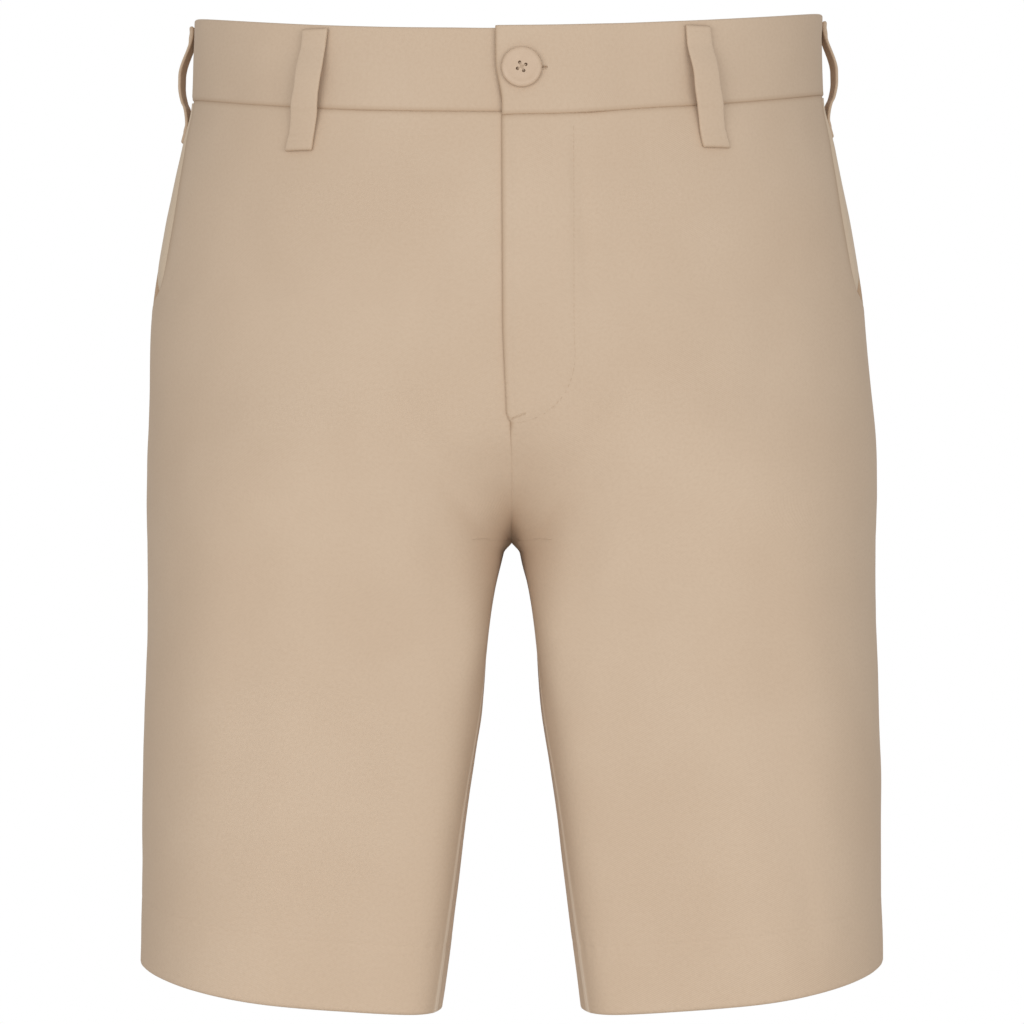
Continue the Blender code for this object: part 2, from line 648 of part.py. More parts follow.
# ---------------------------------------------------------------- button and zip
def button(finish):
    """A four-hole button on its thread stem, which passes the slit to the band below."""
    x, z = BUTTON_AT
    point, out = WAIST.point(x, z, band_raised(x, 1))
    below = WAIST.point(x, z, band_raised(-x, -1))[0]
    stem = SEAM_GAP - float(np.dot(point - below, out))
    profile = [(BUTTON_RADIUS * r, SEAM_GAP + BUTTON_THICK * h) for r, h in BUTTON_PROFILE]
    profile += [(BUTTON_SHANK, SEAM_GAP), (BUTTON_SHANK, stem), (0.0, stem)]
    shape = bmesh.new()
    verts = [shape.verts.new((radius, 0.0, height)) for radius, height in profile]
    edges = [shape.edges.new(pair) for pair in zip(verts, verts[1:])]
    bmesh.ops.spin(
        shape, geom=verts + edges, cent=(0, 0, 0), axis=(0, 0, 1), angle=2 * math.pi,
        steps=24, use_merge=True,
    )
    bmesh.ops.remove_doubles(shape, verts=shape.verts, dist=1e-6)
    made = finished("button", shape, finish)
    made.rotation_euler = (math.acos(out[2]), 0.0, math.atan2(out[0], -out[1]))
    made.location = point
    for k in range(4):
        turn = math.radians(26.0 + 90.0 * k)
        hole = bmesh.new()
        bmesh.ops.create_cone(
            hole, cap_ends=True, segments=10, radius1=BUTTON_HOLE, radius2=BUTTON_HOLE,
            depth=BUTTON_THICK * 4,
        )
        offset = BUTTON_HOLE_OUT * math.cos(turn), BUTTON_HOLE_OUT * math.sin(turn), 0.0
        bmesh.ops.translate(hole, verts=hole.verts, vec=offset)
        cutter = finished(f"button_hole_cutter_{k}", hole, finish)
        cutter.parent = made
        cutter.hide_render = True
        cut = made.modifiers.new(f"hole_{k}", "BOOLEAN")
        cut.operation, cut.object = "DIFFERENCE", cutter
    return made


def zip_strip(name, finish):
    """The closed zip behind the fly: two tapes and the chain that stands up between them."""
    levels = np.linspace(ZIP_TOP_Z, ZIP_BOTTOM_Z, 12)
    outer = np.zeros((len(levels), len(ZIP), 3))
    inner = np.zeros_like(outer)
    depth = CLOTH + FLY_SINK + 2 * SEAM_GAP
    for j, z in enumerate(levels):
        line = cut_line(z, -1, -30.0)
        lengths = running_length(line)
        for i, (x, height) in enumerate(ZIP):
            flat, way = point_at(line, lengths, abs(x))
            side = math.copysign(1.0, x)
            out = np.array([side * way[1], -way[0], 0.0])
            at = np.array([side * flat[0], flat[1], z])
            outer[j, i] = at - out * (depth - height)
            inner[j, i] = at - out * (depth + ZIP_TAPE_WALL)
    return cloth_wall(name, swayed(outer), swayed(inner), finish)


# ---------------------------------------------------------------- the whole garment
for old in list(bpy.data.objects):
    bpy.data.objects.remove(old)

WAIST = Waist()
twill = material("cotton_twill", TWILL, 0.85)
facing_cloth = material("cotton_twill_facing", TWILL_DEEP, 0.85)
horn = material("moulded_button", HORN, 0.45)
tape = material("zip_tape", TWILL_DEEP, 0.7)

for side, half in (("right", -1), ("left", 1)):
    cloth_wall(f"front_{side}", *Panel(half, -1, lap=half > 0).grid(18), twill)
    cloth_wall(f"back_{side}", *Panel(half, 1).grid(18), twill)
    pocket_facing(f"pocket_facing_{side}", half, facing_cloth)

half_round = WAIST.girth / 2 - SEAM_GAP / 2
band_piece("waistband_left", 1, -BAND_LAP, half_round, 34, twill)
band_piece("waistband_right", -1, -BAND_UNDERLAP, half_round, 36, twill)
for loop in LOOPS:
    belt_loop(*loop, twill)
button(horn)
zip_strip("zip", tape)
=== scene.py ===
"""Men's bermuda shorts in beige cotton twill, filled out as worn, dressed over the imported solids.

Metres, +Z up, +X to the wearer's left, the front faces -Y, and the origin is the centre of the
waist. The file follows the garment as it is sewn: the fronts and backs, the pocket facings, the
zip, the waistband, the belt loops, the button, and the threads that show.
"""

import math

import bmesh
import bpy
import numpy as np
from mathutils import Matrix, Vector


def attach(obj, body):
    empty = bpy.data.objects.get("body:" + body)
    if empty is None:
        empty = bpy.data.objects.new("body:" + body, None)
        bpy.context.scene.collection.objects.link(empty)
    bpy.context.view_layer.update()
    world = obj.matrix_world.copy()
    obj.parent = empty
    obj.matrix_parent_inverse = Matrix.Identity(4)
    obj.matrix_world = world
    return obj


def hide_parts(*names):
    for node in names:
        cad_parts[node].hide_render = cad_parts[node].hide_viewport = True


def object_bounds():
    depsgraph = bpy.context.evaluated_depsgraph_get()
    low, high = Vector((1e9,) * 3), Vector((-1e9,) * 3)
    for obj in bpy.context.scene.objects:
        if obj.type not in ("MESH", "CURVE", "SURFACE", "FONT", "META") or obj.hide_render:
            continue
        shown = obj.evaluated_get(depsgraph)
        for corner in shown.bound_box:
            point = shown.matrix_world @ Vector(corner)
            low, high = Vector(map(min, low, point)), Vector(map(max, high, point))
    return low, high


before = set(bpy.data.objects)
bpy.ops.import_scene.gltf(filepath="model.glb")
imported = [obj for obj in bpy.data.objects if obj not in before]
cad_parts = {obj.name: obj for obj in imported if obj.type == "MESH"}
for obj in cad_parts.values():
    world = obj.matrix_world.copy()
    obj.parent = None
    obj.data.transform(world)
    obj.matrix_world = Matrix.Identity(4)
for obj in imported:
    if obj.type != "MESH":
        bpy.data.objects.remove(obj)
cad_low, cad_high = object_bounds()


# ---------------------------------------------------------------- camera
# A long lens, level with the middle of the shorts and square on to their front. Its distance
# and focal length are in metres and in pixels of the square picture.
EYE = (0.0019, -2.3500, -0.2251)
PICTURE_SIDE = 1024
FOCAL_PIXELS = 4723.0
SENSOR_MM = 36.0


def in_scene(name, data):
    """A new object, linked into the scene."""
    made = bpy.data.objects.new(name, data)
    bpy.context.scene.collection.objects.link(made)
    return made


camera_data = bpy.data.cameras.new("camera")
camera_data.sensor_width = SENSOR_MM
camera_data.lens = FOCAL_PIXELS / PICTURE_SIDE * SENSOR_MM
camera = in_scene("camera", camera_data)
camera.location = EYE
camera.rotation_euler = (math.radians(90), 0, 0)
bpy.context.scene.camera = camera


# ---------------------------------------------------------------- fronts and backs
# Each leg is a front and a back in mid-weight cotton twill, joined by a side seam and an inseam,
# and to the other leg by the seat seam. The left front laps over the right one at the fly. The
# hems are turned up 32 mm and caught from inside with a blind stitch, so only pricks show.
SEAM_GAP = 0.0003
SHELL = 0.0008  # one layer of cloth
SEAM_ROLL = 0.0007  # radius at which a panel turns in at its seams
HEM_FOLD = 0.0320
HEM_WALL = 0.0024
HEM_BODY = 0.0360  # the hem's own grid rows start this far above its edge

POCKET_END_Z = -0.1290
WAIST_SEAM_SIDE = -0.0200
WAIST_DIP_FRONT = 0.0157
WAIST_RISE_BACK = 0.0040
LAP_SAG = 0.0017
WAIST_ROLL = 0.0085
LEG_SWAY = 0.0018
LEG_SWAY_Z = (-0.1900, -0.1300)

CROTCH_Z = -0.2390
CROTCH_ARCH = 0.0028
# How much squarer a leg's front is on its inner side, each from a height over the crotch down
# over a distance.
INNER_FRONT_SQUARER = ((1.5, 0.045, 0.070), (4.0, -0.004, 0.050))
HEM_MIDDLE = (0.1092, -0.4586)
HEM_REACH = 0.0730
HEM_ARCH_OUT = 0.0056
HEM_ARCH_IN = 0.0014
HEM_INNER_DIP = 0.0024
HEM_CLIMB = 0.085
HEM_FRONT_DROP = 0.018
HEM_BACK_LIFT = 0.015

FLY_BOTTOM_Z = -0.1830
FLY_TURN_Z = -0.1500
FLY_WIDTH = 0.0311
FLY_LAP_TOP = 0.0026
FLY_LAP_BOTTOM = 0.0018
FLY_SINK = 0.0010

# The worn form, a row for each level. outer and inner are the leg tube's reach along X, front
# and back its reach along Y, and squareness the exponent of its superellipse.
FORM_COLUMNS = ("z", "outer", "inner", "front", "back", "squareness")
FORM = (
    (0.0300, 0.1563, -0.1563, -0.1115, 0.1030, 2.10),
    (0.0000, 0.1566, -0.1566, -0.1125, 0.1055, 2.10),
    (-0.0200, 0.1570, -0.1570, -0.1135, 0.1085, 2.10),
    (-0.0450, 0.1624, -0.1600, -0.1150, 0.1135, 2.12),
    (-0.0850, 0.1710, -0.1620, -0.1185, 0.1225, 2.15),
    (-0.1250, 0.1766, -0.1560, -0.1212, 0.1293, 2.20),
    (-0.1600, 0.1787, -0.1300, -0.1222, 0.1328, 2.24),
    (-0.1850, 0.1798, -0.0780, -0.1212, 0.1330, 2.27),
    (-0.2050, 0.1801, -0.0380, -0.1197, 0.1318, 2.28),
    (-0.2200, 0.1800, -0.0150, -0.1184, 0.1300, 2.30),
    (-0.2310, 0.1797, -0.0047, -0.1173, 0.1284, 2.30),
    (-0.2390, 0.1795, 0.0000, -0.1165, 0.1270, 2.30),
    (-0.2520, 0.1795, 0.0036, -0.1151, 0.1246, 2.30),
    (-0.2640, 0.1796, 0.0066, -0.1139, 0.1222, 2.30),
    (-0.2840, 0.1799, 0.0102, -0.1119, 0.1182, 2.30),
    (-0.3240, 0.1811, 0.0156, -0.1084, 0.1114, 2.30),
    (-0.3640, 0.1822, 0.0218, -0.1052, 0.1062, 2.28),
    (-0.4040, 0.1823, 0.0268, -0.1023, 0.1022, 2.26),
    (-0.4400, 0.1829, 0.0312, -0.1000, 0.0992, 2.25),
    (-0.4900, 0.1834, 0.0378, -0.0975, 0.0960, 2.25),
)

# Seam lines on the form, as degrees from the side: minus is towards the front.
SEAM_COLUMNS = ("z", "side_seam", "pocket_mouth")
SEAMS = (
    (0.0300, 7.0, -7.0),
    (-0.0200, 6.0, -9.0),
    (-0.0550, 3.5, -13.8),
    (-0.0850, 1.0, -16.6),
    (-0.1040, 0.0, -16.4),
    (-0.1150, -1.0, -14.8),
    (-0.1290, -2.0, -2.0),
    (-0.4900, -2.0, -2.0),
)
INSEAM_FORWARD = 30.0
INSEAM_LENGTH = 0.2200

# The broad folds, on both legs, and the finer creases, each on one leg only: side is minus for
# the wearer's right. x and z are the middle seen from the front, lean the angle from upright
# (plus leans out as it rises), length and width half sizes, depth the trough (minus: a ridge).
FOLDS = (  # face, x, z, lean, length, width, depth
    ("front", 0.034, -0.205, 38.0, 0.045, 0.011, 0.0022),
    ("front", 0.052, -0.232, 22.0, 0.050, 0.012, -0.0012),
    ("front", 0.030, -0.285, 8.0, 0.050, 0.010, 0.0016),
    ("front", 0.062, -0.052, 78.0, 0.040, 0.011, 0.0011),
    ("front", 0.128, -0.330, -6.0, 0.090, 0.016, 0.0016),
    ("front", 0.098, -0.400, 2.0, 0.080, 0.022, -0.0012),
    ("back", 0.062, -0.232, 62.0, 0.045, 0.014, 0.0026),
    ("back", 0.078, -0.262, 54.0, 0.050, 0.011, 0.0022),
    ("back", 0.112, -0.330, 8.0, 0.080, 0.018, 0.0024),
    ("back", 0.060, -0.360, -6.0, 0.070, 0.014, 0.0018),
    ("back", 0.085, -0.135, 30.0, 0.055, 0.020, -0.0016),
    ("back", 0.140, -0.205, 20.0, 0.050, 0.014, 0.0016),
)
CREASES = (  # side, face, x, z, lean, length, width, depth
    (-1, "front", 0.036, -0.118, -12.0, 0.034, 0.0070, 0.0007),
    (-1, "front", 0.022, -0.132, 64.0, 0.022, 0.0050, 0.0006),
    (-1, "front", 0.040, -0.150, 52.0, 0.026, 0.0060, 0.0005),
    (-1, "front", 0.068, -0.190, 20.0, 0.006, 0.0030, 0.0006),
    (-1, "front", 0.020, -0.226, 40.0, 0.020, 0.0050, 0.0006),
    (-1, "front", 0.118, -0.110, 14.0, 0.040, 0.0100, 0.0005),
    (-1, "front", 0.080, -0.445, 4.0, 0.020, 0.0060, 0.0005),
    (1, "front", 0.035, -0.080, -4.0, 0.032, 0.0045, 0.0009),
    (1, "front", 0.058, -0.118, -18.0, 0.030, 0.0080, 0.0005),
    (1, "front", 0.020, -0.218, 32.0, 0.022, 0.0050, 0.0007),
    (1, "front", 0.046, -0.178, 46.0, 0.028, 0.0070, 0.0005),
    (1, "front", 0.124, -0.140, 8.0, 0.046, 0.0100, 0.0005),
    (1, "front", 0.142, -0.420, -4.0, 0.030, 0.0060, 0.0005),
    (-1, "back", 0.030, -0.246, 66.0, 0.022, 0.0060, 0.0009),
    (-1, "back", 0.098, -0.284, 44.0, 0.036, 0.0070, 0.0008),
    (-1, "back", 0.050, -0.070, -20.0, 0.030, 0.0080, 0.0005),
    (-1, "back", 0.130, -0.400, 6.0, 0.050, 0.0090, 0.0007),
    (1, "back", 0.034, -0.256, 58.0, 0.026, 0.0060, 0.0010),
    (1, "back", 0.090, -0.296, 50.0, 0.032, 0.0080, 0.0007),
    (1, "back", 0.066, -0.062, 26.0, 0.028, 0.0080, 0.0005),
    (1, "back", 0.100, -0.410, -8.0, 0.044, 0.0080, 0.0007),
)


def columns(table, names):
    """A table as one array for each column, from the lowest level up."""
    rows = sorted(table)
    return {name: np.array([row[i] for row in rows], float) for i, name in enumerate(names)}


FORM_BY = columns(FORM, FORM_COLUMNS)
SEAM_BY = columns(SEAMS, SEAM_COLUMNS)


def read_off(by, name, z):
    """A column's value at heights z, on a curve through its rows that never overshoots."""
    levels, values = by["z"], by[name]
    steps = np.diff(values) / np.diff(levels)
    before, after = steps[:-1], steps[1:]
    same_way = before * after > 0
    harmonic = 2 * before * after / np.where(same_way, before + after, 1.0)
    slopes = np.concatenate([steps[:1], np.where(same_way, harmonic, 0.0), steps[-1:]])
    z = np.clip(z, levels[0], levels[-1])
    i = np.clip(np.searchsorted(levels, z, side="right") - 1, 0, len(levels) - 2)
    span = levels[i + 1] - levels[i]
    t = (z - levels[i]) / span
    rise = values[i + 1] - values[i]
    first, last = slopes[i] * span, slopes[i + 1] * span
    bend, twist = 3 * rise - 2 * first - last, first + last - 2 * rise
    return values[i] + t * first + t * t * bend + t**3 * twist


def ease(t):
    """0 to 1 with a level start and end."""
    t = np.clip(t, 0.0, 1.0)
    return t * t * (3 - 2 * t)


def running_length(line):
    return np.concatenate([[0.0], np.cumsum(np.linalg.norm(np.diff(line, axis=0), axis=1))])


CENTRE_ROUND = (0.016, 0.075)  # radius at the centre, and the height over which it grows
WIDEST_SHARE = 0.075  # how much of its front and back reach lies before a leg's widest line


def centre_round(z):
    """Radius that rounds the crease at the centre, which dies away at the crotch."""
    radius, rise = CENTRE_ROUND
    return radius * ease((z - CROTCH_Z) / rise)


def inner_squarer(z):
    """What is added to the squareness of a leg's front on its inner side, below the fly."""
    return sum(
        much * ease((CROTCH_Z + start - z) / drop) for much, start, drop in INNER_FRONT_SQUARER
    )


def tube(z, start, end, count=500):
    """Points of the leg tube at one height between two angles, in degrees from the side."""
    outer, inner, front, back, squareness = (
        read_off(FORM_BY, name, z) for name in FORM_COLUMNS[1:]
    )
    middle, reach = (outer + inner) / 2, (outer - inner) / 2
    level = (front + back) * WIDEST_SHARE
    turn = np.radians(np.linspace(start, end, count))
    below = CROTCH_Z - z
    inner_front = (np.cos(turn) < 0) & (np.sin(turn) < 0)
    square = squareness + inner_front * inner_squarer(z)
    across = np.sign(np.cos(turn)) * np.abs(np.cos(turn)) ** (2 / square)
    deep = np.abs(np.sin(turn)) ** (2 / square)
    depth = level + np.where(np.sin(turn) < 0, front - level, back - level) * deep
    arch = CROTCH_ARCH * ease(below / 0.0060) * (1 - ease((below - 0.03) / 0.06))
    near_inmost = np.exp(-(1 + np.cos(turn)) / 0.06)
    return np.stack([middle + reach * across + arch * near_inmost, depth], axis=1)


def inner_angle(z, face):
    """Degrees from the side to where the tube meets the centre, or to its inmost line."""
    outer, inner, squareness = (
        read_off(FORM_BY, name, z) for name in ("outer", "inner", "squareness")
    )
    share = ((outer + inner) / 2 - centre_round(z)) / ((outer - inner) / 2)
    if z <= CROTCH_Z or share >= 1:
        return 180.0
    if face < 0 and share > 0:
        squareness += inner_squarer(z)
    from_across = math.degrees(math.acos(abs(share) ** (squareness / 2)))
    return from_across if share <= 0 else 180.0 - from_across


def cut_line(z, face, edge, lap=0.0):
    """One panel's section at a height, from its inner edge to the edge angle at the side."""
    if z <= CROTCH_Z:
        below = CROTCH_Z - z
        forward = INSEAM_FORWARD * (below / INSEAM_LENGTH) ** 0.6 * ease(below / 0.02)
        if face < 0:
            return tube(z, forward - 180.0, edge)
        return np.concatenate([tube(z, forward - 180.0, -180.0)[:-1], tube(z, 180.0, edge)])
    line = tube(z, face * inner_angle(z, face), edge)
    line[:, 0] = np.sqrt(np.maximum(line[:, 0] ** 2 - centre_round(z) ** 2, 0.0))
    line[0, 0] = 0.0
    if lap > 0:
        past = line[1:][line[1:, 0] < lap] * (-1, 1)
        end = (-lap, np.interp(lap, line[:, 0], line[:, 1]))
        line = np.concatenate([[end], past[::-1], line])
    return line


def waist_z(x, y):
    """Height of the waist seam over points of the waist."""
    dip = WAIST_DIP_FRONT * np.clip(-y / 0.1135, 0.0, 1.0) ** 1.5
    rise = WAIST_RISE_BACK * np.clip(y / 0.1085, 0.0, 1.0) ** 1.5
    return WAIST_SEAM_SIDE - dip + rise + WAIST_ROLL * x


def lap_sag(half, x):
    """How much lower the lapped left half's waist seam hangs at an x by the fly."""
    return LAP_SAG * (1 - ease((x - 0.016) / 0.060)) * (half > 0)


def hem_z(x, y):
    """Height of the hem's edge over points of the leg opening."""
    aside = x - HEM_MIDDLE[0]
    arch = np.where(aside > 0, HEM_ARCH_OUT, HEM_ARCH_IN) * (aside / HEM_REACH) ** 2
    tip = np.where(y < 0, HEM_FRONT_DROP, HEM_BACK_LIFT) * y
    dip = HEM_INNER_DIP * ease((-aside / HEM_REACH - 0.80) / 0.15) * ease((y + 0.085) / 0.045)
    return HEM_MIDDLE[1] + HEM_CLIMB * aside + arch + tip - dip


def fly_lap(z):
    """How far the left front passes the centre at the height z."""
    up_fly = np.clip((z - FLY_BOTTOM_Z) / (WAIST_SEAM_SIDE - FLY_BOTTOM_Z), 0.0, 1.0)
    lap = FLY_LAP_BOTTOM + (FLY_LAP_TOP - FLY_LAP_BOTTOM) * up_fly
    return lap * ease((z - FLY_BOTTOM_Z - 0.0005) / 0.0040)


def fly_line(x, z):
    """1 on the curved line of stitches beside the fly, less inside it and more outside."""
    below_turn = np.maximum(FLY_TURN_Z - z, 0.0) / (FLY_TURN_Z - FLY_BOTTOM_Z)
    return np.hypot(x / FLY_WIDTH, below_turn)


def fly_lift(x, z):
    """How far the lapped left front is raised, over the zip and the right front's edge."""
    on_zip = 0.0009 + 0.0007 * ease(x / 0.004) - 0.0006 * ease((x - 0.010) / 0.014)
    return on_zip * (1 - ease((fly_line(x, z) - 0.88) / 0.38))


def fly_sink(x, z):
    """How far the right front's edge sinks under the lap."""
    down = ease((z - FLY_BOTTOM_Z + 0.026) / 0.030)
    return FLY_SINK * down * (1 - ease((x - FLY_LAP_TOP) / 0.024))


def swayed(points, half=1):
    """Points of one half put on the wearer's left or right, with the legs' sway."""
    bottom, top = LEG_SWAY_Z
    level = ease((points[..., 2] - bottom) / (top - bottom))
    moved = points.copy()
    moved[..., 0] = half * points[..., 0] + LEG_SWAY * (1 - level)
    return moved


def dents(table, half, face, x, z):
    """How far the folds or creases of a table dent one face of one half."""
    total = np.zeros_like(x)
    for *side, on_face, fx, fz, lean, length, width, depth in table:
        if on_face != ("front" if face < 0 else "back") or side not in ([], [half]):
            continue
        turn = math.radians(lean)
        dx, dz = x - fx, z - fz
        along = (dx * math.sin(turn) + dz * math.cos(turn)) / length
        across = (dx * math.cos(turn) - dz * math.sin(turn)) / width
        total += depth * np.exp(-(across**2) - along**4)
    return total


RIPPLE_LENGTHS = (0.021, 0.029, 0.037, 0.048, 0.061, 0.083, 0.11)  # of a faint unevenness
RIPPLE_DEPTH = 0.00007  # of the one that is 50 mm long


def ripple(along, down, seed):
    """A faint unevenness, as cloth has that isn't pressed flat."""
    chance = np.random.default_rng(seed)
    total = np.zeros_like(along)
    for length in RIPPLE_LENGTHS:
        heading = chance.uniform(0, math.pi)
        start = chance.uniform(0, 2 * math.pi)
        travel = along * math.cos(heading) + down * math.sin(heading)
        bend = 0.25 * np.sin(2 * math.pi * down / (length * 2.7) + start)
        total += length / 0.05 * np.sin(2 * math.pi * travel / length + start + bend)
    return RIPPLE_DEPTH * total


def hump(distance, width):
    """1 at no distance, falling away smoothly over a width to each side."""
    return np.exp(-((distance / width) ** 2))


def rolled(distance, radius=SEAM_ROLL):
    """How far a surface has turned in at a distance from its edge, on a quarter circle."""
    short = np.clip(radius - distance, 0.0, radius)
    return radius - np.sqrt(np.maximum(radius**2 - short**2, 0.0))


NEAR_EDGE = (0.0, 0.0002, 0.0005, 0.0009, 0.0014, 0.0021, 0.0031, 0.0045)  # grid lines by a seam
ALLOWANCE = (0.0032, 0.0018, 0.0007)  # depths of the grid lines on a seam's turned-in edge


def spaced(total, first, last, between):
    """Grid lines across a total length: given distances from each end, and even ones between."""
    total = np.asarray(total, float)[..., None]
    start = np.broadcast_to(np.array(first), (*total.shape[:-1], len(first)))
    end = total - np.array(last)[::-1]
    share = np.linspace(0, 1, between + 2)[1:-1]
    middle = start[..., -1:] + (end[..., :1] - start[..., -1:]) * share
    return np.concatenate([start, middle, end], axis=-1)


# Heights of the sections, close together where the crotch's curve runs nearly level.
LEVELS = np.concatenate([
    np.arange(-0.5000, CROTCH_Z - 0.0010, 0.0005),
    np.arange(CROTCH_Z - 0.0010, CROTCH_Z + 0.0020, 0.00005),
    np.arange(CROTCH_Z + 0.0020, 0.0300, 0.0005),
])


class Sections:
    """Sections of the form at close levels, each as evenly spaced points, to be read off."""

    def __init__(self, levels, lines, count=420):
        self.levels, self.count = levels, count
        lengths = [running_length(line) for line in lines]
        self.widths = np.array([length[-1] for length in lengths])
        share = np.linspace(0, 1, count)
        self.points = np.array([
            np.stack([np.interp(share * length[-1], length, line[:, k]) for k in (0, 1)], axis=1)
            for line, length in zip(lines, lengths)
        ])

    def width(self, z):
        return np.interp(z, self.levels, self.widths)

    def at(self, share, z):
        """Points at a share of the section's length and at a height."""
        row = np.interp(z, self.levels, np.arange(len(self.levels)))
        row = np.minimum(row, len(self.levels) - 1.001)
        column = np.clip(share, 0, 1) * (self.count - 1.001)
        r, c = row.astype(int), column.astype(int)
        down, over = (row - r)[..., None], (column - c)[..., None]
        upper = self.points[r, c] * (1 - over) + self.points[r, c + 1] * over
        lower = self.points[r + 1, c] * (1 - over) + self.points[r + 1, c + 1] * over
        flat = upper * (1 - down) + lower * down
        return np.concatenate([flat, np.asarray(z)[..., None] + 0 * flat[..., :1]], axis=-1)


FLY_COLUMNS = tuple(np.arange(0.0058, 0.0440, 0.0013))  # grid lines over the fly
BODY_ROWS = 205
CROTCH_SHARE = 0.56  # share of these rows above the crotch
LEG_GATHER = 1.30  # the power by which rows close up under the crotch
HEM_STITCH = (0.0352, 0.0344, 0.0336, 0.0330, 0.0325, 0.0321, 0.0317, 0.0312, 0.0305, 0.0296)
HEM_INSIDE_ROWS = 11
ROLL_STEPS = 7
EVEN_COLUMNS = {-1: 96, 1: 124}  # grid lines between those at the edges, of a front and a back
CALM_REACH = 0.022  # heights over which a panel's width is evened out for its columns
LATE_POWER = 14  # keeps what is left of the unevenness by the inner edge
READ_AT = (-0.025, -0.140, -0.460)  # heights that stand for the waist, the middle and the hem
ROWS_EVEN = (0.12, 0.80)  # shares across: where the rows start to spread evenly, and over what
FOLD_FADE = 0.06  # share of the width in which folds die away at a seam
NEAR_CENTRE = 0.02  # what is nearer than this to the inner edge belongs to its seam

# Painted shade along the seams, each with its strength and its half width, and the inseam's ridge,
# which is raised and also given a painted highlight.
SEAM_SHADE = 0.0011
MOUTH_SHADE = (0.8, 0.0045)
WAIST_SHADE = (0.6, 0.0012)
INSEAM_RIDGE = (0.0013, 0.0011, 0.00035)  # distance from the seam, half width and height

PRICK_PITCH = 0.0130  # between the pulls of the blind stitch
PRICK_LINE = (0.00005, 0.00016, 0.0009)  # depth of the line, more at a pull, and its half width
PRICK_PULL = (0.00035, 0.0045, 0.022)  # depth, half width, and reach from the leg's seams
FLY_GROOVE = (0.00028, 0.0009)  # depth and half width of the fly's sewn line


def hem_rows():
    """The hem's grid rows, as heights over its edge and depths into the leg."""
    radius = HEM_WALL / 2
    outer = [(h, 0.0) for h in (*HEM_STITCH, *np.linspace(0.0280, 0.0022, 15))]
    turn = np.linspace(0, math.pi, ROLL_STEPS)
    roll = [(radius * (1 - math.sin(t)), radius * (1 - math.cos(t))) for t in turn]
    inside = [(h, HEM_WALL) for h in np.linspace(0.0030, HEM_FOLD - 0.0020, HEM_INSIDE_ROWS)]
    end = [(HEM_FOLD - 0.0009, HEM_WALL - 0.0004), (HEM_FOLD - 0.0004, HEM_WALL - 0.0008)]
    return np.array(outer + roll + inside + end)


HEM_ROWS = hem_rows()


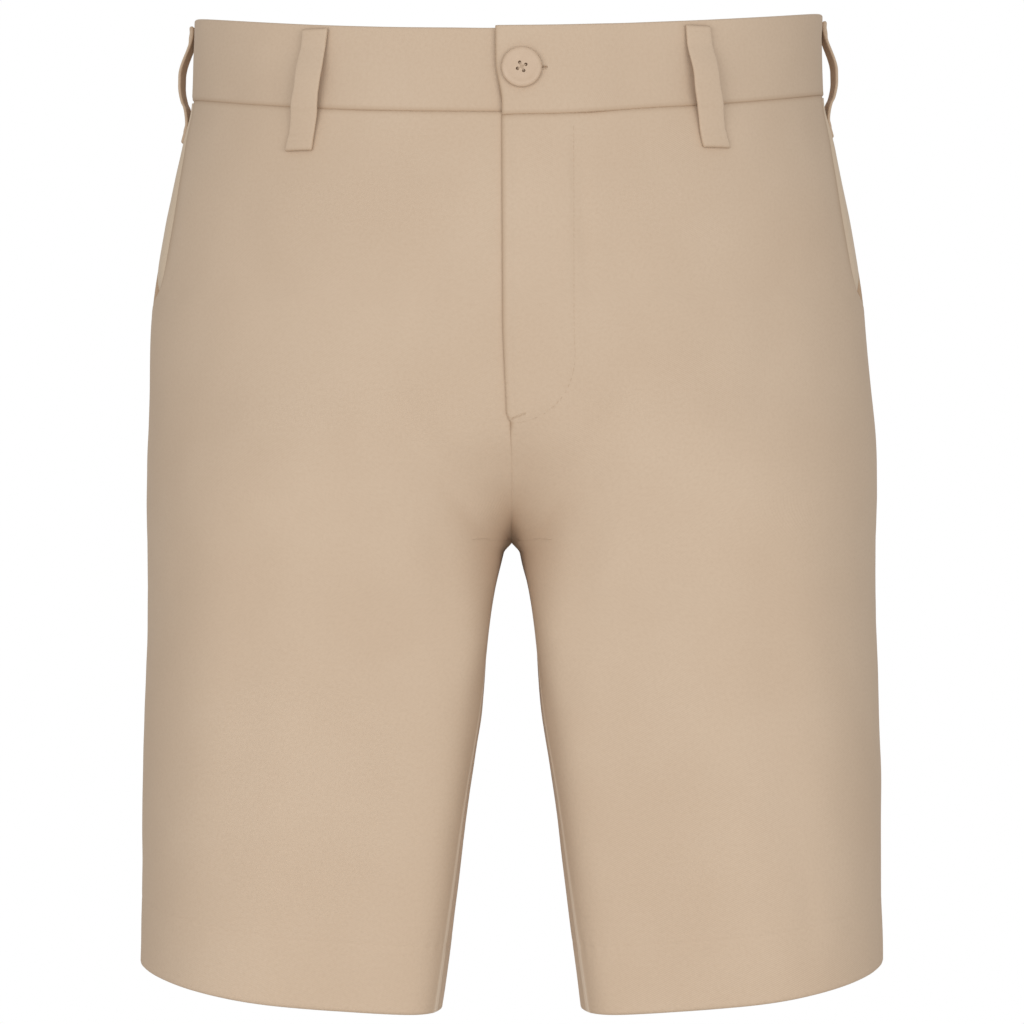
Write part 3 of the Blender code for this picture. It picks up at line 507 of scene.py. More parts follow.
class Panel:
    """One front or back as a grid of points, from its inner edge to its outer one."""

    def __init__(self, half, face, lap=False):
        self.half, self.face, self.lap = half, face, lap
        edges = read_off(SEAM_BY, "pocket_mouth" if face < 0 else "side_seam", LEVELS)
        laps = fly_lap(LEVELS) if lap else 0 * LEVELS
        lines = [cut_line(z, face, edge, lap) for z, edge, lap in zip(LEVELS, edges, laps)]
        self.sections = Sections(LEVELS, lines)
        nearby = np.linspace(-CALM_REACH, CALM_REACH, 23)[:, None]
        self.calm = self.sections.width(np.clip(LEVELS + nearby, LEVELS[0], LEVELS[-1])).mean(0)

    def place(self, index, z):
        """The bare form at grid columns and heights, and the lengths across to them."""
        total = self.sections.width(z)
        inner = (*NEAR_EDGE, *FLY_COLUMNS) if self.face < 0 else NEAR_EDGE
        between = EVEN_COLUMNS[self.face]
        across = spaced(total - SEAM_GAP, inner, NEAR_EDGE, between)
        left = 1 - np.linspace(0, 1, between + 2)[1:-1]
        calm = np.interp(z, LEVELS, self.calm)[..., None]
        even = left * (calm - SEAM_GAP - inner[-1] - NEAR_EDGE[-1])
        late = left**LATE_POWER * (total[..., None] - calm)
        outmost = total[..., None] - SEAM_GAP - NEAR_EDGE[-1]
        across[..., len(inner):-len(NEAR_EDGE)] = outmost - even - late
        along = np.take_along_axis(across, np.broadcast_to(index, z.shape)[..., None], -1)[..., 0]
        return self.sections.at((along + SEAM_GAP / 2) / total, z), along

    def count(self):
        """How many grid columns the panel has, without its turned-in edges."""
        on_fly = len(FLY_COLUMNS) if self.face < 0 else 0
        return 2 * len(NEAR_EDGE) + on_fly + EVEN_COLUMNS[self.face]

    def inner_heights(self, top, bottom, shares):
        """Heights at the inner edge for shares of the rows: even to the crotch, then wider."""
        heights = np.zeros_like(shares)
        above = shares <= CROTCH_SHARE
        parts = (
            (above, top, CROTCH_Z, shares / CROTCH_SHARE),
            (~above, CROTCH_Z, bottom, np.clip(shares - CROTCH_SHARE, 0, 1) / (1 - CROTCH_SHARE)),
        )
        for which, start, end, share in parts:
            fine = np.linspace(start, end, 900)
            edge = self.sections.at(0 * fine, fine)
            lengths = running_length(edge)
            gather = 1.0 if end == CROTCH_Z else LEG_GATHER
            heights[which] = np.interp(share[which] ** gather * lengths[-1], lengths, fine)
        return heights

    def rows(self, index):
        """Heights of the waist seam and the hem, and the grid rows' heights and depths."""
        at_waist, at_middle, at_hem = (self.place(index, np.full(len(index), z)) for z in READ_AT)
        aside, deep, _ = at_waist[0].T
        top = waist_z(self.half * aside, deep) - SEAM_GAP / 2
        top = top - lap_sag(self.half, aside) * (self.face < 0)
        bottom = hem_z(at_hem[0][:, 0], at_hem[0][:, 1])
        share = at_middle[1] / at_middle[1][-1]
        turned = [0.0] * len(ALLOWANCE)
        body = spaced(0.40, (*turned, *NEAR_EDGE), (0.0,), BODY_ROWS) / 0.40
        heights = np.zeros((len(body), len(index)))
        start, span = ROWS_EVEN
        for i in range(len(index)):
            inner = self.inner_heights(top[i], bottom[i] + HEM_BODY, body)
            even = top[i] + (bottom[i] + HEM_BODY - top[i]) * body
            heights[:, i] = inner + (even - inner) * ease((share[i] - start) / span)
        z = np.concatenate([heights, bottom + HEM_ROWS[:, :1]])
        depth = np.concatenate([0 * heights, HEM_ROWS[:, 1:] + 0 * bottom])
        return top, bottom, z, depth

    def worn_tone_and_painted_shade(self, z, to_seam, to_waist, from_centre, on_crotch):
        """The painted shade along the seams, minus a painted highlight where the inseam is pressed
        to a ridge, and that ridge's height.
        """
        by_centre = from_centre < NEAR_CENTRE
        on_inseam = ease((CROTCH_Z - 0.012 - z) / 0.030) * by_centre
        on_lap = ease((z - FLY_BOTTOM_Z) / 0.004) * by_centre * (self.face < 0)
        low_lap = on_lap * (1 - ease((z + 0.190) / 0.060))
        mouth = ease((z - POCKET_END_Z - 0.006) / 0.030) * (self.face < 0) * (from_centre > 0.5)
        ridge = hump(to_seam - INSEAM_RIDGE[0], INSEAM_RIDGE[1]) * on_inseam
        # Painted shade along each seam, fainter on the crotch, the inseam and the fly's edge.
        seam = hump(to_seam, SEAM_SHADE) * (1 - 0.9 * on_crotch)
        seam = seam * (1 - 0.8 * on_inseam) * (1 - 0.35 * on_lap - 0.4 * low_lap)
        # Painted shade along the pocket mouth, less the painted highlight on the inseam's ridge.
        seam = seam + MOUTH_SHADE[0] * mouth * hump(to_seam, MOUTH_SHADE[1]) - ridge
        # Painted shade along the waist seam.
        seam = seam + WAIST_SHADE[0] * hump(to_waist, WAIST_SHADE[1])
        return np.clip(seam, -1, 1), INSEAM_RIDGE[2] * ridge * (1 if self.face < 0 else 0.5)

    def grid(self):
        """The finished outer face, with what the material reads: painted seam shade and highlight,
        and cloth lengths.
        """
        turns = len(ALLOWANCE)
        index = np.clip(np.arange(-turns, self.count() + turns), 0, self.count() - 1)
        top, bottom, z, depth = self.rows(index)
        facing_out = depth == 0
        points, along = self.place(index, z)
        out = self.directions(index, z)
        x, y = points[..., 0], points[..., 1]
        total = self.sections.width(z) - SEAM_GAP
        share = along / total
        across = along - total + np.interp(z, LEVELS, self.calm)
        inside = ease(share / FOLD_FADE) * ease((1 - share) / FOLD_FADE)
        raised = -dents(FOLDS, self.half, self.face, x, z) * inside
        raised *= np.where(self.face < 0, ease(-y / 0.03), ease(y / 0.03))
        raised -= dents(CREASES, self.half, self.face, x, z) * inside
        raised += ripple(across, z, 5 + self.half + 3 * self.face) * inside
        if self.face < 0:
            raised += fly_lift(x, z) if self.lap else -fly_sink(x, z)
        to_seam, to_waist = np.minimum(along, total - along), top - z
        from_centre = np.where(along < total / 2, along, 1.0)
        on_crotch = ease((FLY_BOTTOM_Z + 0.001 - z) / 0.006) * (z > CROTCH_Z)
        on_crotch = on_crotch * (from_centre < NEAR_CENTRE)
        raised -= rolled(to_seam) * (1 - 0.8 * on_crotch) + rolled(to_waist)
        raised += self.stitched(x, z, along, total, z - bottom) * facing_out
        seam, ridge = self.worn_tone_and_painted_shade(z, to_seam, to_waist, from_centre, on_crotch)
        raised += ridge
        on_fly = ease((z[:, :turns] - FLY_BOTTOM_Z + 0.002) / 0.006) * (self.face < 0)
        by_pocket = ease((z[:, -turns:] - POCKET_END_Z + 0.022) / 0.006) * (self.face < 0)
        depth[:, :turns] += ALLOWANCE * (1 - 0.9 * on_fly)
        depth[:, -turns:] += ALLOWANCE[::-1] * (1 - 0.75 * by_pocket)
        depth[:turns] += 0.55 * np.array(ALLOWANCE)[:, None]
        return points + out * (raised - depth)[..., None], seam, across, z

    def directions(self, index, z):
        """Outward directions of the bare form, from its way aside and its way down."""
        step = 0.0004
        total = self.sections.width(z)
        here, along = self.place(index, z)
        share = (along + SEAM_GAP / 2) / total
        aside = self.sections.at(share + step, z) - self.sections.at(share - step, z)
        below = 1 - (1 - share) * total / self.sections.width(z - step)
        out = np.cross(aside, here - self.sections.at(below, z - step)) * -self.face
        return out / np.linalg.norm(out, axis=-1, keepdims=True)

    def stitched(self, x, z, along, total, over_hem):
        """What the sewing does to the face: the fly's line, the hem's pricks, the seams' pulls."""
        line_depth, more, line_width = PRICK_LINE
        pull_depth, pull_width, reach = PRICK_PULL
        pull = np.sin(along * 2 * math.pi / PRICK_PITCH + 2.2 * self.half) ** 2
        near = np.exp(-np.minimum(along, total - along) / reach)
        line = hump(over_hem - HEM_FOLD, line_width)
        soft = hump(over_hem - HEM_FOLD, pull_width)
        pricks = -line * (line_depth + more * pull) - soft * near * pull_depth * pull
        if not self.lap:
            return pricks
        groove_depth, groove_width = FLY_GROOVE
        past = (fly_line(x, z) - 1) * FLY_WIDTH
        return pricks - groove_depth * hump(past, groove_width) * (x > 0)


def srgb(code):
    """A hex colour as linear values with an alpha of 1."""
    parts = [int(code[i : i + 2], 16) / 255 for i in (1, 3, 5)]
    linear = [c / 12.92 if c <= 0.04045 else ((c + 0.055) / 1.055) ** 2.4 for c in parts]
    return (*linear, 1.0)


def add_node(tree, kind, settings=None, **links):
    """A new node with its settings, and its inputs set to values or linked to sockets."""
    made = tree.nodes.new(kind)
    for name, value in (settings or {}).items():
        setattr(made, name, value)
    for name, value in links.items():
        socket = made.inputs[int(name[1:]) if name[0] == "i" and name[1:].isdigit() else name]
        if isinstance(value, bpy.types.NodeSocket):
            tree.links.new(value, socket)
        else:
            socket.default_value = value
    return made


def new_material(name):
    """An empty material, its node tree and its shader."""
    made = bpy.data.materials.new(name)
    made.use_nodes = True
    return made, made.node_tree, made.node_tree.nodes["Principled BSDF"]


# Mid-weight cotton twill, piece-dyed beige and peached: matt, with a very fine diagonal rib. The
# real rib is about 0.5 mm apart, finer than shows, so it is drawn at 0.9 mm and kept faint.
TWILL_RIB = 0.0009
TWILL_ANGLE = math.radians(62)
TWILL_SLUB = 0.0016  # length of the yarns' thick and thin places
TWILL_CLOUD = 0.07  # size of the dye's soft clouds
TWILL_SHADE = "#CDB69E"
# The deeper shade serves both the yarns' darker flecks and the painted shade along the seams.
TWILL_FLECK_AND_PAINTED_SHADE = "#BBA187"
TWILL_WORN = "#D6C1AA"
TWILL_PAINTED_HIGHLIGHT = "#E8D9C6"  # painted highlight along the inseam's pressed ridge


def twill(name, shade, deep, worn_tone_and_painted_shade):
    """Cotton twill whose rib follows the cloth's own lengths, in metres, in its UV map."""
    made, tree, shader = new_material(name)
    lengths = add_node(tree, "ShaderNodeUVMap", {"uv_map": "cloth"}).outputs["UV"]
    seam = add_node(tree, "ShaderNodeAttribute", {"attribute_name": "seam"}).outputs["Fac"]
    place = add_node(tree, "ShaderNodeTexCoord").outputs["Object"]
    cut = (math.cos(TWILL_ANGLE) / TWILL_RIB, math.sin(TWILL_ANGLE) / TWILL_RIB, 0.0)
    travel = add_node(tree, "ShaderNodeVectorMath", {"operation": "DOT_PRODUCT"},
                      i0=lengths, i1=cut).outputs["Value"]
    turns = add_node(tree, "ShaderNodeMath", {"operation": "MULTIPLY"},
                     i0=travel, i1=2 * math.pi).outputs[0]
    rib = add_node(tree, "ShaderNodeMath", {"operation": "SINE"}, i0=turns).outputs[0]
    slub = add_node(tree, "ShaderNodeTexNoise", {"noise_dimensions": "3D"},
                    Vector=lengths, Scale=1 / TWILL_SLUB, Detail=3.0, Roughness=0.6).outputs["Fac"]
    cloud = add_node(tree, "ShaderNodeTexNoise", {"noise_dimensions": "3D"},
                     Vector=place, Scale=1 / TWILL_CLOUD, Detail=3.0, Roughness=0.5).outputs["Fac"]
    height = add_node(tree, "ShaderNodeMath", {"operation": "MULTIPLY_ADD"},
                      i0=slub, i1=1.2, i2=rib).outputs[0]
    bump = add_node(tree, "ShaderNodeBump", None,
                    Strength=0.22, Distance=0.00005, Height=height).outputs["Normal"]
    tint = add_node(tree, "ShaderNodeMapRange", None,
                    Value=cloud, i1=0.35, i2=0.65, i3=0.0, i4=0.35).outputs[0]
    base = add_node(tree, "ShaderNodeMix", {"data_type": "RGBA"},
                    Factor=tint, i6=srgb(shade), i7=srgb(worn_tone_and_painted_shade)).outputs[2]
    fleck = add_node(tree, "ShaderNodeMapRange", None,
                     Value=slub, i1=0.40, i2=0.75, i3=0.0, i4=0.22).outputs[0]
    flecked = add_node(tree, "ShaderNodeMix", {"data_type": "RGBA"},
                       Factor=fleck, i6=base, i7=srgb(deep)).outputs[2]
    # Where the seam attribute is plus, the cloth is darkened towards the deeper shade as painted
    # shade along its seams and edges.
    shadow = add_node(tree, "ShaderNodeMapRange", None,
                      Value=seam, i1=0.0, i2=1.0, i3=0.0, i4=0.85).outputs[0]
    # Where the seam attribute is minus, the cloth is lightened as a painted highlight on the
    # inseam's ridge.
    painted_highlight = add_node(tree, "ShaderNodeMapRange", None,
                       Value=seam, i1=-1.0, i2=0.0, i3=0.75, i4=0.0).outputs[0]
    shaded = add_node(tree, "ShaderNodeMix", {"data_type": "RGBA"},
                      Factor=shadow, i6=flecked, i7=srgb(deep)).outputs[2]
    colour = add_node(tree, "ShaderNodeMix", {"data_type": "RGBA"},
                      Factor=painted_highlight, i6=shaded, i7=srgb(TWILL_PAINTED_HIGHLIGHT)).outputs[2]
    tree.links.new(colour, shader.inputs["Base Color"])
    tree.links.new(bump, shader.inputs["Normal"])
    shader.inputs["Roughness"].default_value = 0.88
    shader.inputs["Specular IOR Level"].default_value = 0.09
    shader.inputs["Sheen Weight"].default_value = 0.04
    shader.inputs["Sheen Roughness"].default_value = 0.5
    return made


cloth_twill = twill("cotton_twill", TWILL_SHADE, TWILL_FLECK_AND_PAINTED_SHADE, TWILL_WORN)


def grid_piece(name, points, finish, seam=0.0, lengths=None, towards=None, closed=False):
    """A grid of points as an object, with its cloth lengths as UVs and its seam attribute of
    painted shade.
    """
    rows, count = points.shape[:2]
    shell = bmesh.new()
    bmesh.ops.create_grid(shell, x_segments=count - 1, y_segments=rows - 1, size=1.0)
    mesh = bpy.data.meshes.new(name)
    shell.to_mesh(mesh)
    shell.free()
    mesh.vertices.foreach_set("co", points.reshape(-1))
    corner = np.zeros(len(mesh.loops), int)
    mesh.loops.foreach_get("vertex_index", corner)
    if lengths is not None:
        flat = np.stack(lengths, axis=-1).reshape(-1, 2)[corner]
        mesh.uv_layers.new(name="cloth").data.foreach_set("uv", flat.reshape(-1))
    worn_tone_and_painted_shade = mesh.attributes.new("seam", "FLOAT", "POINT")
    worn_tone_and_painted_shade.data.foreach_set("value", np.broadcast_to(seam, (rows, count)).reshape(-1))
    mesh.materials.append(finish)
    if closed:
        shape = bmesh.new()
        shape.from_mesh(mesh)
        bmesh.ops.remove_doubles(shape, verts=shape.verts, dist=1e-6)
        bmesh.ops.dissolve_degenerate(shape, edges=shape.edges, dist=1e-7)
        rims = [edge for edge in shape.edges if edge.is_boundary]
        bmesh.ops.holes_fill(shape, edges=rims, sides=0)
        bmesh.ops.recalc_face_normals(shape, faces=shape.faces)
        if shape.calc_volume(signed=True) < 0:
            bmesh.ops.reverse_faces(shape, faces=shape.faces)
        shape.to_mesh(mesh)
        shape.free()
    elif np.dot(mesh.polygons[count // 2].normal, towards(mesh.polygons[count // 2].center)) < 0:
        mesh.flip_normals()
    mesh.shade_smooth()
    return in_scene(name, mesh)


def thickened(piece, wall):
    """Gives a shell its wall, on its inner side."""
    wall_maker = piece.modifiers.new("cloth_wall", "SOLIDIFY")
    wall_maker.thickness = wall
    wall_maker.offset = -1.0
    return piece


def from_axis(centre):
    """Which way is outwards at a point of the trunk."""
    return (centre[0], centre[1], 0.0)


SIDES = (("right", -1), ("left", 1))
# Each front and back as a thin shell of the twill, with its turned-up hem.
panels = {}
for side_name, half in SIDES:
    for face, face_name in ((-1, "front"), (1, "back")):
        panel = Panel(half, face, lap=half > 0 and face < 0)
        points, seam, along, z = panel.grid()
        node = f"{face_name}_{side_name}"
        piece = grid_piece(f"{node}_cloth", swayed(points, half), cloth_twill, seam,
                           (along, z), from_axis)
        thickened(piece, SHELL)
        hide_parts(node)
        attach(piece, "root")
        panels[node] = piece


# ---------------------------------------------------------------- pocket facings
# A strip of the same twill behind each slanting pocket mouth, sewn into the waist seam and the
# side seam. It shows beside the mouth and runs on behind the front.
FACING_UNDER = 0.0280
FACING_BELOW = 0.0120
FACING_DEPTH = 0.0011
FACING_DIVE = 0.0022
FACING_WALL = 0.0010
FACING_CLOTH = 0.0012  # wall of the front over it
FACING_LEVELS = np.arange(-0.1500, -0.0100, 0.0010)

# It is the same cloth, drawn in a lighter copy of the twill.
facing_twill = twill("cotton_twill_facing", "#DAC5AC", "#C9B196", "#E0CDB6")


def pocket_facing(half):
    """The facing's outer face, with its lengths across and down."""
    mouths, sides = (read_off(SEAM_BY, name, FACING_LEVELS) for name in SEAM_COLUMNS[:0:-1])
    behind = [tube(z, m - 30.0, s) for z, m, s in zip(FACING_LEVELS, mouths, sides)]
    shown = [running_length(tube(z, m, s))[-1] for z, m, s in zip(FACING_LEVELS, mouths, sides)]
    sections = Sections(FACING_LEVELS, behind)
    down, share = np.meshgrid(np.linspace(0, 1, 70), np.linspace(0, 1, 40), indexing="ij")
    z = np.full_like(down, WAIST_SEAM_SIDE - 0.004)
    for _ in range(3):
        total = sections.width(z)
        seen = np.interp(z, FACING_LEVELS, shown)
        reach = seen + FACING_UNDER * (1 - 0.5 * down**2)
        along = total - SEAM_GAP - (1 - share) * (reach - SEAM_GAP)
        points = sections.at(along / total, z)
        top = waist_z(half * points[..., 0], points[..., 1]) - 3 * SEAM_GAP
        z = top + down * (POCKET_END_Z - FACING_BELOW - top)
    points = sections.at(along / total, z)
    aside = sections.at(along / total + 0.004, z) - sections.at(along / total - 0.004, z)
    raised = 1 - (total - along) / sections.width(z + 0.001)
    out = np.cross(aside, sections.at(raised, z + 0.001) - points)
    out /= np.linalg.norm(out, axis=-1, keepdims=True)
    past_mouth = along - (total - seen)
    under = FACING_CLOTH + FACING_DEPTH + FACING_DIVE * ease((POCKET_END_Z + 0.024 - z) / 0.020)
    rises = ease((past_mouth - 0.001) / 0.010) * ease((z - POCKET_END_Z - 0.006) / 0.020)
    sunk = under - (under - 0.0003) * rises + ripple(along, z, 40 + half)
    shade = 0.5 * np.exp(-((total - along) / 0.0009)) * (past_mouth > 0)
    return points - out * sunk[..., None], np.clip(shade, 0, 1), along, z


for side_name, half in SIDES:
    points, shade, along, z = pocket_facing(half)
    piece = grid_piece(f"pocket_facing_{side_name}_cloth", swayed(points, half), facing_twill,
                       shade, (along, z), from_axis)
    thickened(piece, FACING_WALL)
    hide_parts(f"pocket_facing_{side_name}")
    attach(piece, "root")


# ---------------------------------------------------------------- waistband
# A straight band of the twill over a stiff interlining, in two halves joined at the centre back
# and turned in along the waist seam. Its left end passes over the right one at the fly, and has
# the buttonhole.
BAND_WALL = 0.0024
BAND_HEIGHT = 0.0402
BAND_STEP = 0.0009
BAND_PROUD = 0.0005
BAND_LAP = 0.0055
BAND_UNDERLAP = 0.0380
BAND_LIFT = 0.0013
BAND_SINK = 0.0016
BAND_EDGE = 0.0012  # radius of its rounded top
BAND_TROUGH = (0.74, 0.0034, 0.00034)  # height share, half width and depth of the soft channel

BUTTON_AT = (0.0064, -0.0146)
BUTTONHOLE = (0.0030, 0.0188)
BUTTONHOLE_WIDE = 0.00040
BUTTONHOLE_DEEP = 0.0011
RING_LEVELS = np.arange(-0.0650, 0.0320, 0.0010)

# Where each belt loop crosses the waist, as degrees from the side at its top and bottom, and how
# far it stands off in the middle. The band is dented a little under each of them.
LOOP_DENT = (0.0004, 0.011)  # depth and half width
LOOPS = (  # name, half, degrees_top, degrees_bottom, bulge
    ("loop_front_right", -1, -54.5, -53.4, 0.0042),
    ("loop_front_left", 1, -55.2, -53.5, 0.0042),
    ("loop_side_right", -1, 5.0, 5.0, 0.0060),
    ("loop_side_left", 1, 5.0, 5.0, 0.0060),
    ("loop_back", 1, 90.0, 90.0, 0.0060),
)


class Waist:
    """The form round the waist, by the length from the centre front, minus to the right.

    Lengths are those of the waist seam's level, and shrink or grow with the ring at others."""

    def __init__(self):
        rings = []
        for z in RING_LEVELS:
            half = np.concatenate([cut_line(z, -1, 0.0)[:-1], cut_line(z, 1, 0.0)[::-1]])
            rings.append(np.concatenate([half[:-1], half[::-1] * (-1, 1)]))
        self.rings = Sections(RING_LEVELS, rings, 2400)
        self.girth = self.rings.width(WAIST_SEAM_SIDE)

    def along(self, degrees):
        """Length from the centre front to an angle from the side."""
        line = cut_line(WAIST_SEAM_SIDE, -1, min(degrees, 0.0))
        beyond = tube(WAIST_SEAM_SIDE, 0.0, max(degrees, 0.0))
        return running_length(line)[-1] + running_length(beyond)[-1]

    def seam(self, along):
        """Height of the waist seam at lengths round the waist."""
        level = np.full_like(along, WAIST_SEAM_SIDE)
        flat = self.rings.at(along / self.girth % 1.0, level)
        return waist_z(flat[..., 0], flat[..., 1])

    def point(self, along, z, raised):
        """Points at lengths and heights, raised off the form, and their outward directions."""
        share, step = along / self.girth, 0.0015
        here = self.rings.at(share % 1.0, z)
        aside = self.rings.at((share + step) % 1.0, z) - self.rings.at((share - step) % 1.0, z)
        out = np.cross(aside, self.rings.at(share % 1.0, z + step) - here)
        out /= np.linalg.norm(out, axis=-1, keepdims=True)
        return here + out * np.asarray(raised)[..., None], out


WAIST = Waist()


def band_raised(along, half):
    """How far the band's face stands out: the left end climbs over the right, which sinks."""
    if half > 0:
        return BAND_PROUD + BAND_LIFT * (1 - ease((along - BAND_UNDERLAP) / 0.022))
    return BAND_PROUD - BAND_SINK * (1 - ease((along - BAND_LAP - 0.002) / 0.020))


def end_squeeze(from_end, radius):
    """How much of a strip's thickness is left near its rounded ends."""
    return np.sqrt(1 - np.clip(1 - (from_end + 0.0001) / radius, 0, 1) ** 2)


def once_round(rows):
    """The rows of a section that closes, with the first one again at the end."""
    return np.concatenate([rows, rows[:1]])


def band_profile(slit_share):
    """The band's section, once round: height shares, heights to add, and depths."""
    face = np.linspace(0, 1, 26)
    face = face[np.abs(face - slit_share) > 0.035]
    by_slit = slit_share + np.array([-6, -3, -1.6, -1, -0.6, 0, 0.6, 1, 1.6, 3, 6]) * 0.0052
    face = np.sort(np.concatenate([face, by_slit]))
    rows = [(share, 0.0009 - 0.0021 * share, 0.0) for share in face]
    for t in np.linspace(0, math.pi, 13)[1:]:
        rows.append((1.0, -BAND_EDGE * (1 - math.sin(t)), BAND_EDGE * (1 - math.cos(t))))
    rows += [(share, 0.0009 - 0.0021 * share, BAND_WALL) for share in np.linspace(0.92, 0, 10)]
    rows += [(0.0, 0.0002, BAND_WALL - 0.0003), (0.0, 0.0, BAND_WALL - 0.0008)]
    for t in np.linspace(0, math.pi / 2, 6):
        rows.append((0.0, 0.0009 * (1 - math.cos(t)), 0.0009 * (1 - math.sin(t))))
    return np.array(rows)


def band_half(half):
    """One half of the band as a closed grid: sections once round, from its end to the back."""
    start, end = (-BAND_LAP if half > 0 else -BAND_UNDERLAP), WAIST.girth / 2 - SEAM_GAP / 2
    ends = (0.0, 0.0002, 0.0005, 0.0009, 0.0015, 0.0024)
    along = start + spaced(end - start, ends, ends, 250)
    if half > 0:
        away = np.min(np.abs(along[:, None] - np.array(BUTTONHOLE)), axis=1) > 0.0009
        by_slit = [at + step for at in BUTTONHOLE for step in (-4e-4, -2e-4, 0, 2e-4, 4e-4)]
        along = np.sort(np.concatenate([along[away], by_slit]))
    high = BAND_HEIGHT + (BAND_STEP * (1 - ease((along - 0.06) / 0.12)) if half > 0 else 0 * along)
    sag = lap_sag(half, along)
    bottom, high = WAIST.seam(half * along) + SEAM_GAP / 2 - sag, high + sag
    button_sag = lap_sag(half, BUTTON_AT[0])
    slit_share = BUTTON_AT[1] - WAIST.seam(np.array(BUTTON_AT[0])) + button_sag
    slit_share /= BAND_HEIGHT + BAND_STEP + button_sag
    share, added, deep = band_profile(float(slit_share)).T[:, :, None]
    from_end = np.minimum(along - start, end - along)
    squeeze = end_squeeze(from_end, BAND_EDGE)
    depth = BAND_WALL / 2 + (deep - BAND_WALL / 2) * squeeze
    height = share * high + added
    height = high / 2 + (height - high / 2) * (1 - 0.022 * (1 - squeeze))
    z = bottom + height
    along = along + 0 * z
    if half > 0:
        near = 1 - ease((along - start) / 0.035)
        along = along + near * (0.0026 * ease((0.62 - share) / 0.5) - 0.0006 * ease(share))
    trough_share, trough_width, trough_depth = BAND_TROUGH
    on_face = (deep < BAND_EDGE) & (share > 0)
    trough = hump((share - trough_share) * high, trough_width)
    raised = -trough_depth * trough * (0.55 + 0.45 * np.sin(along * 34 + 2 * half))
    raised += 1.2 * ripple(along, z, 61 + half)
    dent_depth, dent_width = LOOP_DENT
    for degrees in (loop[2] for loop in LOOPS if loop[1] == half):
        raised -= dent_depth * hump(along - WAIST.along(degrees), dent_width) * share
    raised = raised * on_face * ease(from_end / 0.004)
    if half > 0:
        in_slit = ease((along - BUTTONHOLE[0]) / 2e-4) * ease((BUTTONHOLE[1] - along) / 2e-4)
        over = np.abs(share - slit_share) * high / (BUTTONHOLE_WIDE / 2)
        lips = 0.00022 * hump(over - 2.6, 1.2)
        raised += on_face * in_slit * (lips - BUTTONHOLE_DEEP * (1 - ease(over - 0.7)))
    points, _ = WAIST.point(half * along, z, band_raised(along, half) + raised - depth)
    # Painted shade along the band's foot at the waist seam and at its ends.
    edge = hump(height, 0.0013) + hump(from_end, 0.0010)
    return points, np.clip(edge, 0, 1), along, z


for side_name, half in SIDES:
    points, edge, along, z = band_half(half)
    piece = grid_piece(f"waistband_{side_name}_cloth", once_round(points), cloth_twill,
                       once_round(edge), [once_round(z), once_round(along)], closed=True)
    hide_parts(f"waistband_{side_name}")
    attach(piece, "root")


# ---------------------------------------------------------------- belt loops
# Five strips of the twill, folded in three and pressed flat. Both ends are folded under and sewn
# down, the lower one below the waist seam, and a belt passes behind the middle.
LOOP_WIDTH = 0.0135
LOOP_WALL = 0.0015
LOOP_CROWN = 0.0003
LOOP_FOLD = 0.0070
LOOP_FOLD_WALL = 0.0006
LOOP_SEAT = 0.0006
LOOP_TOP_MARGIN = 0.0022
LOOP_BELOW_SEAM = 0.0205
LOOP_SIDE = 0.0007  # radius of its folded sides
LOOP_END = 0.0011  # radius of its folded ends
LOOP_TACKS = (0.0031, 0.0046)  # how far in from its top and bottom the sewn lines lie
TACK_DEEP = 0.00022  # how far they pull it in


def loop_profile():
    """A loop's section, once round: places across it, and shares of the way through it."""
    turn = np.linspace(0, math.pi, 9)
    side = LOOP_WIDTH / 2 - LOOP_SIDE
    right = [(side + LOOP_SIDE * math.sin(t), (1 + math.cos(t)) / 2) for t in turn]
    left = [(-across, 1 - through) for across, through in right]
    top = [(side * x, 1.0) for x in np.linspace(-1, 1, 13)[1:-1]]
    under = [(side * x, 0.0) for x in np.linspace(1, -1, 9)[1:-1]]
    return np.array(top + right + under + left)


def loop_frame(half, degrees_top, degrees_bottom):
    """A loop's heights over the waist seam, the seam's height there, and its lean."""
    ends = [half * WAIST.along(degrees) for degrees in (degrees_bottom, degrees_top)]
    top, bottom = BAND_HEIGHT - LOOP_TOP_MARGIN, -LOOP_BELOW_SEAM
    seam = float(WAIST.seam(np.array(sum(ends) / 2)))
    return top, bottom, seam, ends


def loop_air(height, top, bottom, bulge):
    """How far a loop's inner side stands off the form at heights over the waist seam."""
    arch = ease((top - 0.003 - height) / 0.022) * ease((height - bottom - 0.003) / 0.026)
    return LOOP_SEAT + BAND_PROUD * ease((height + 0.003) / 0.003) + bulge * arch


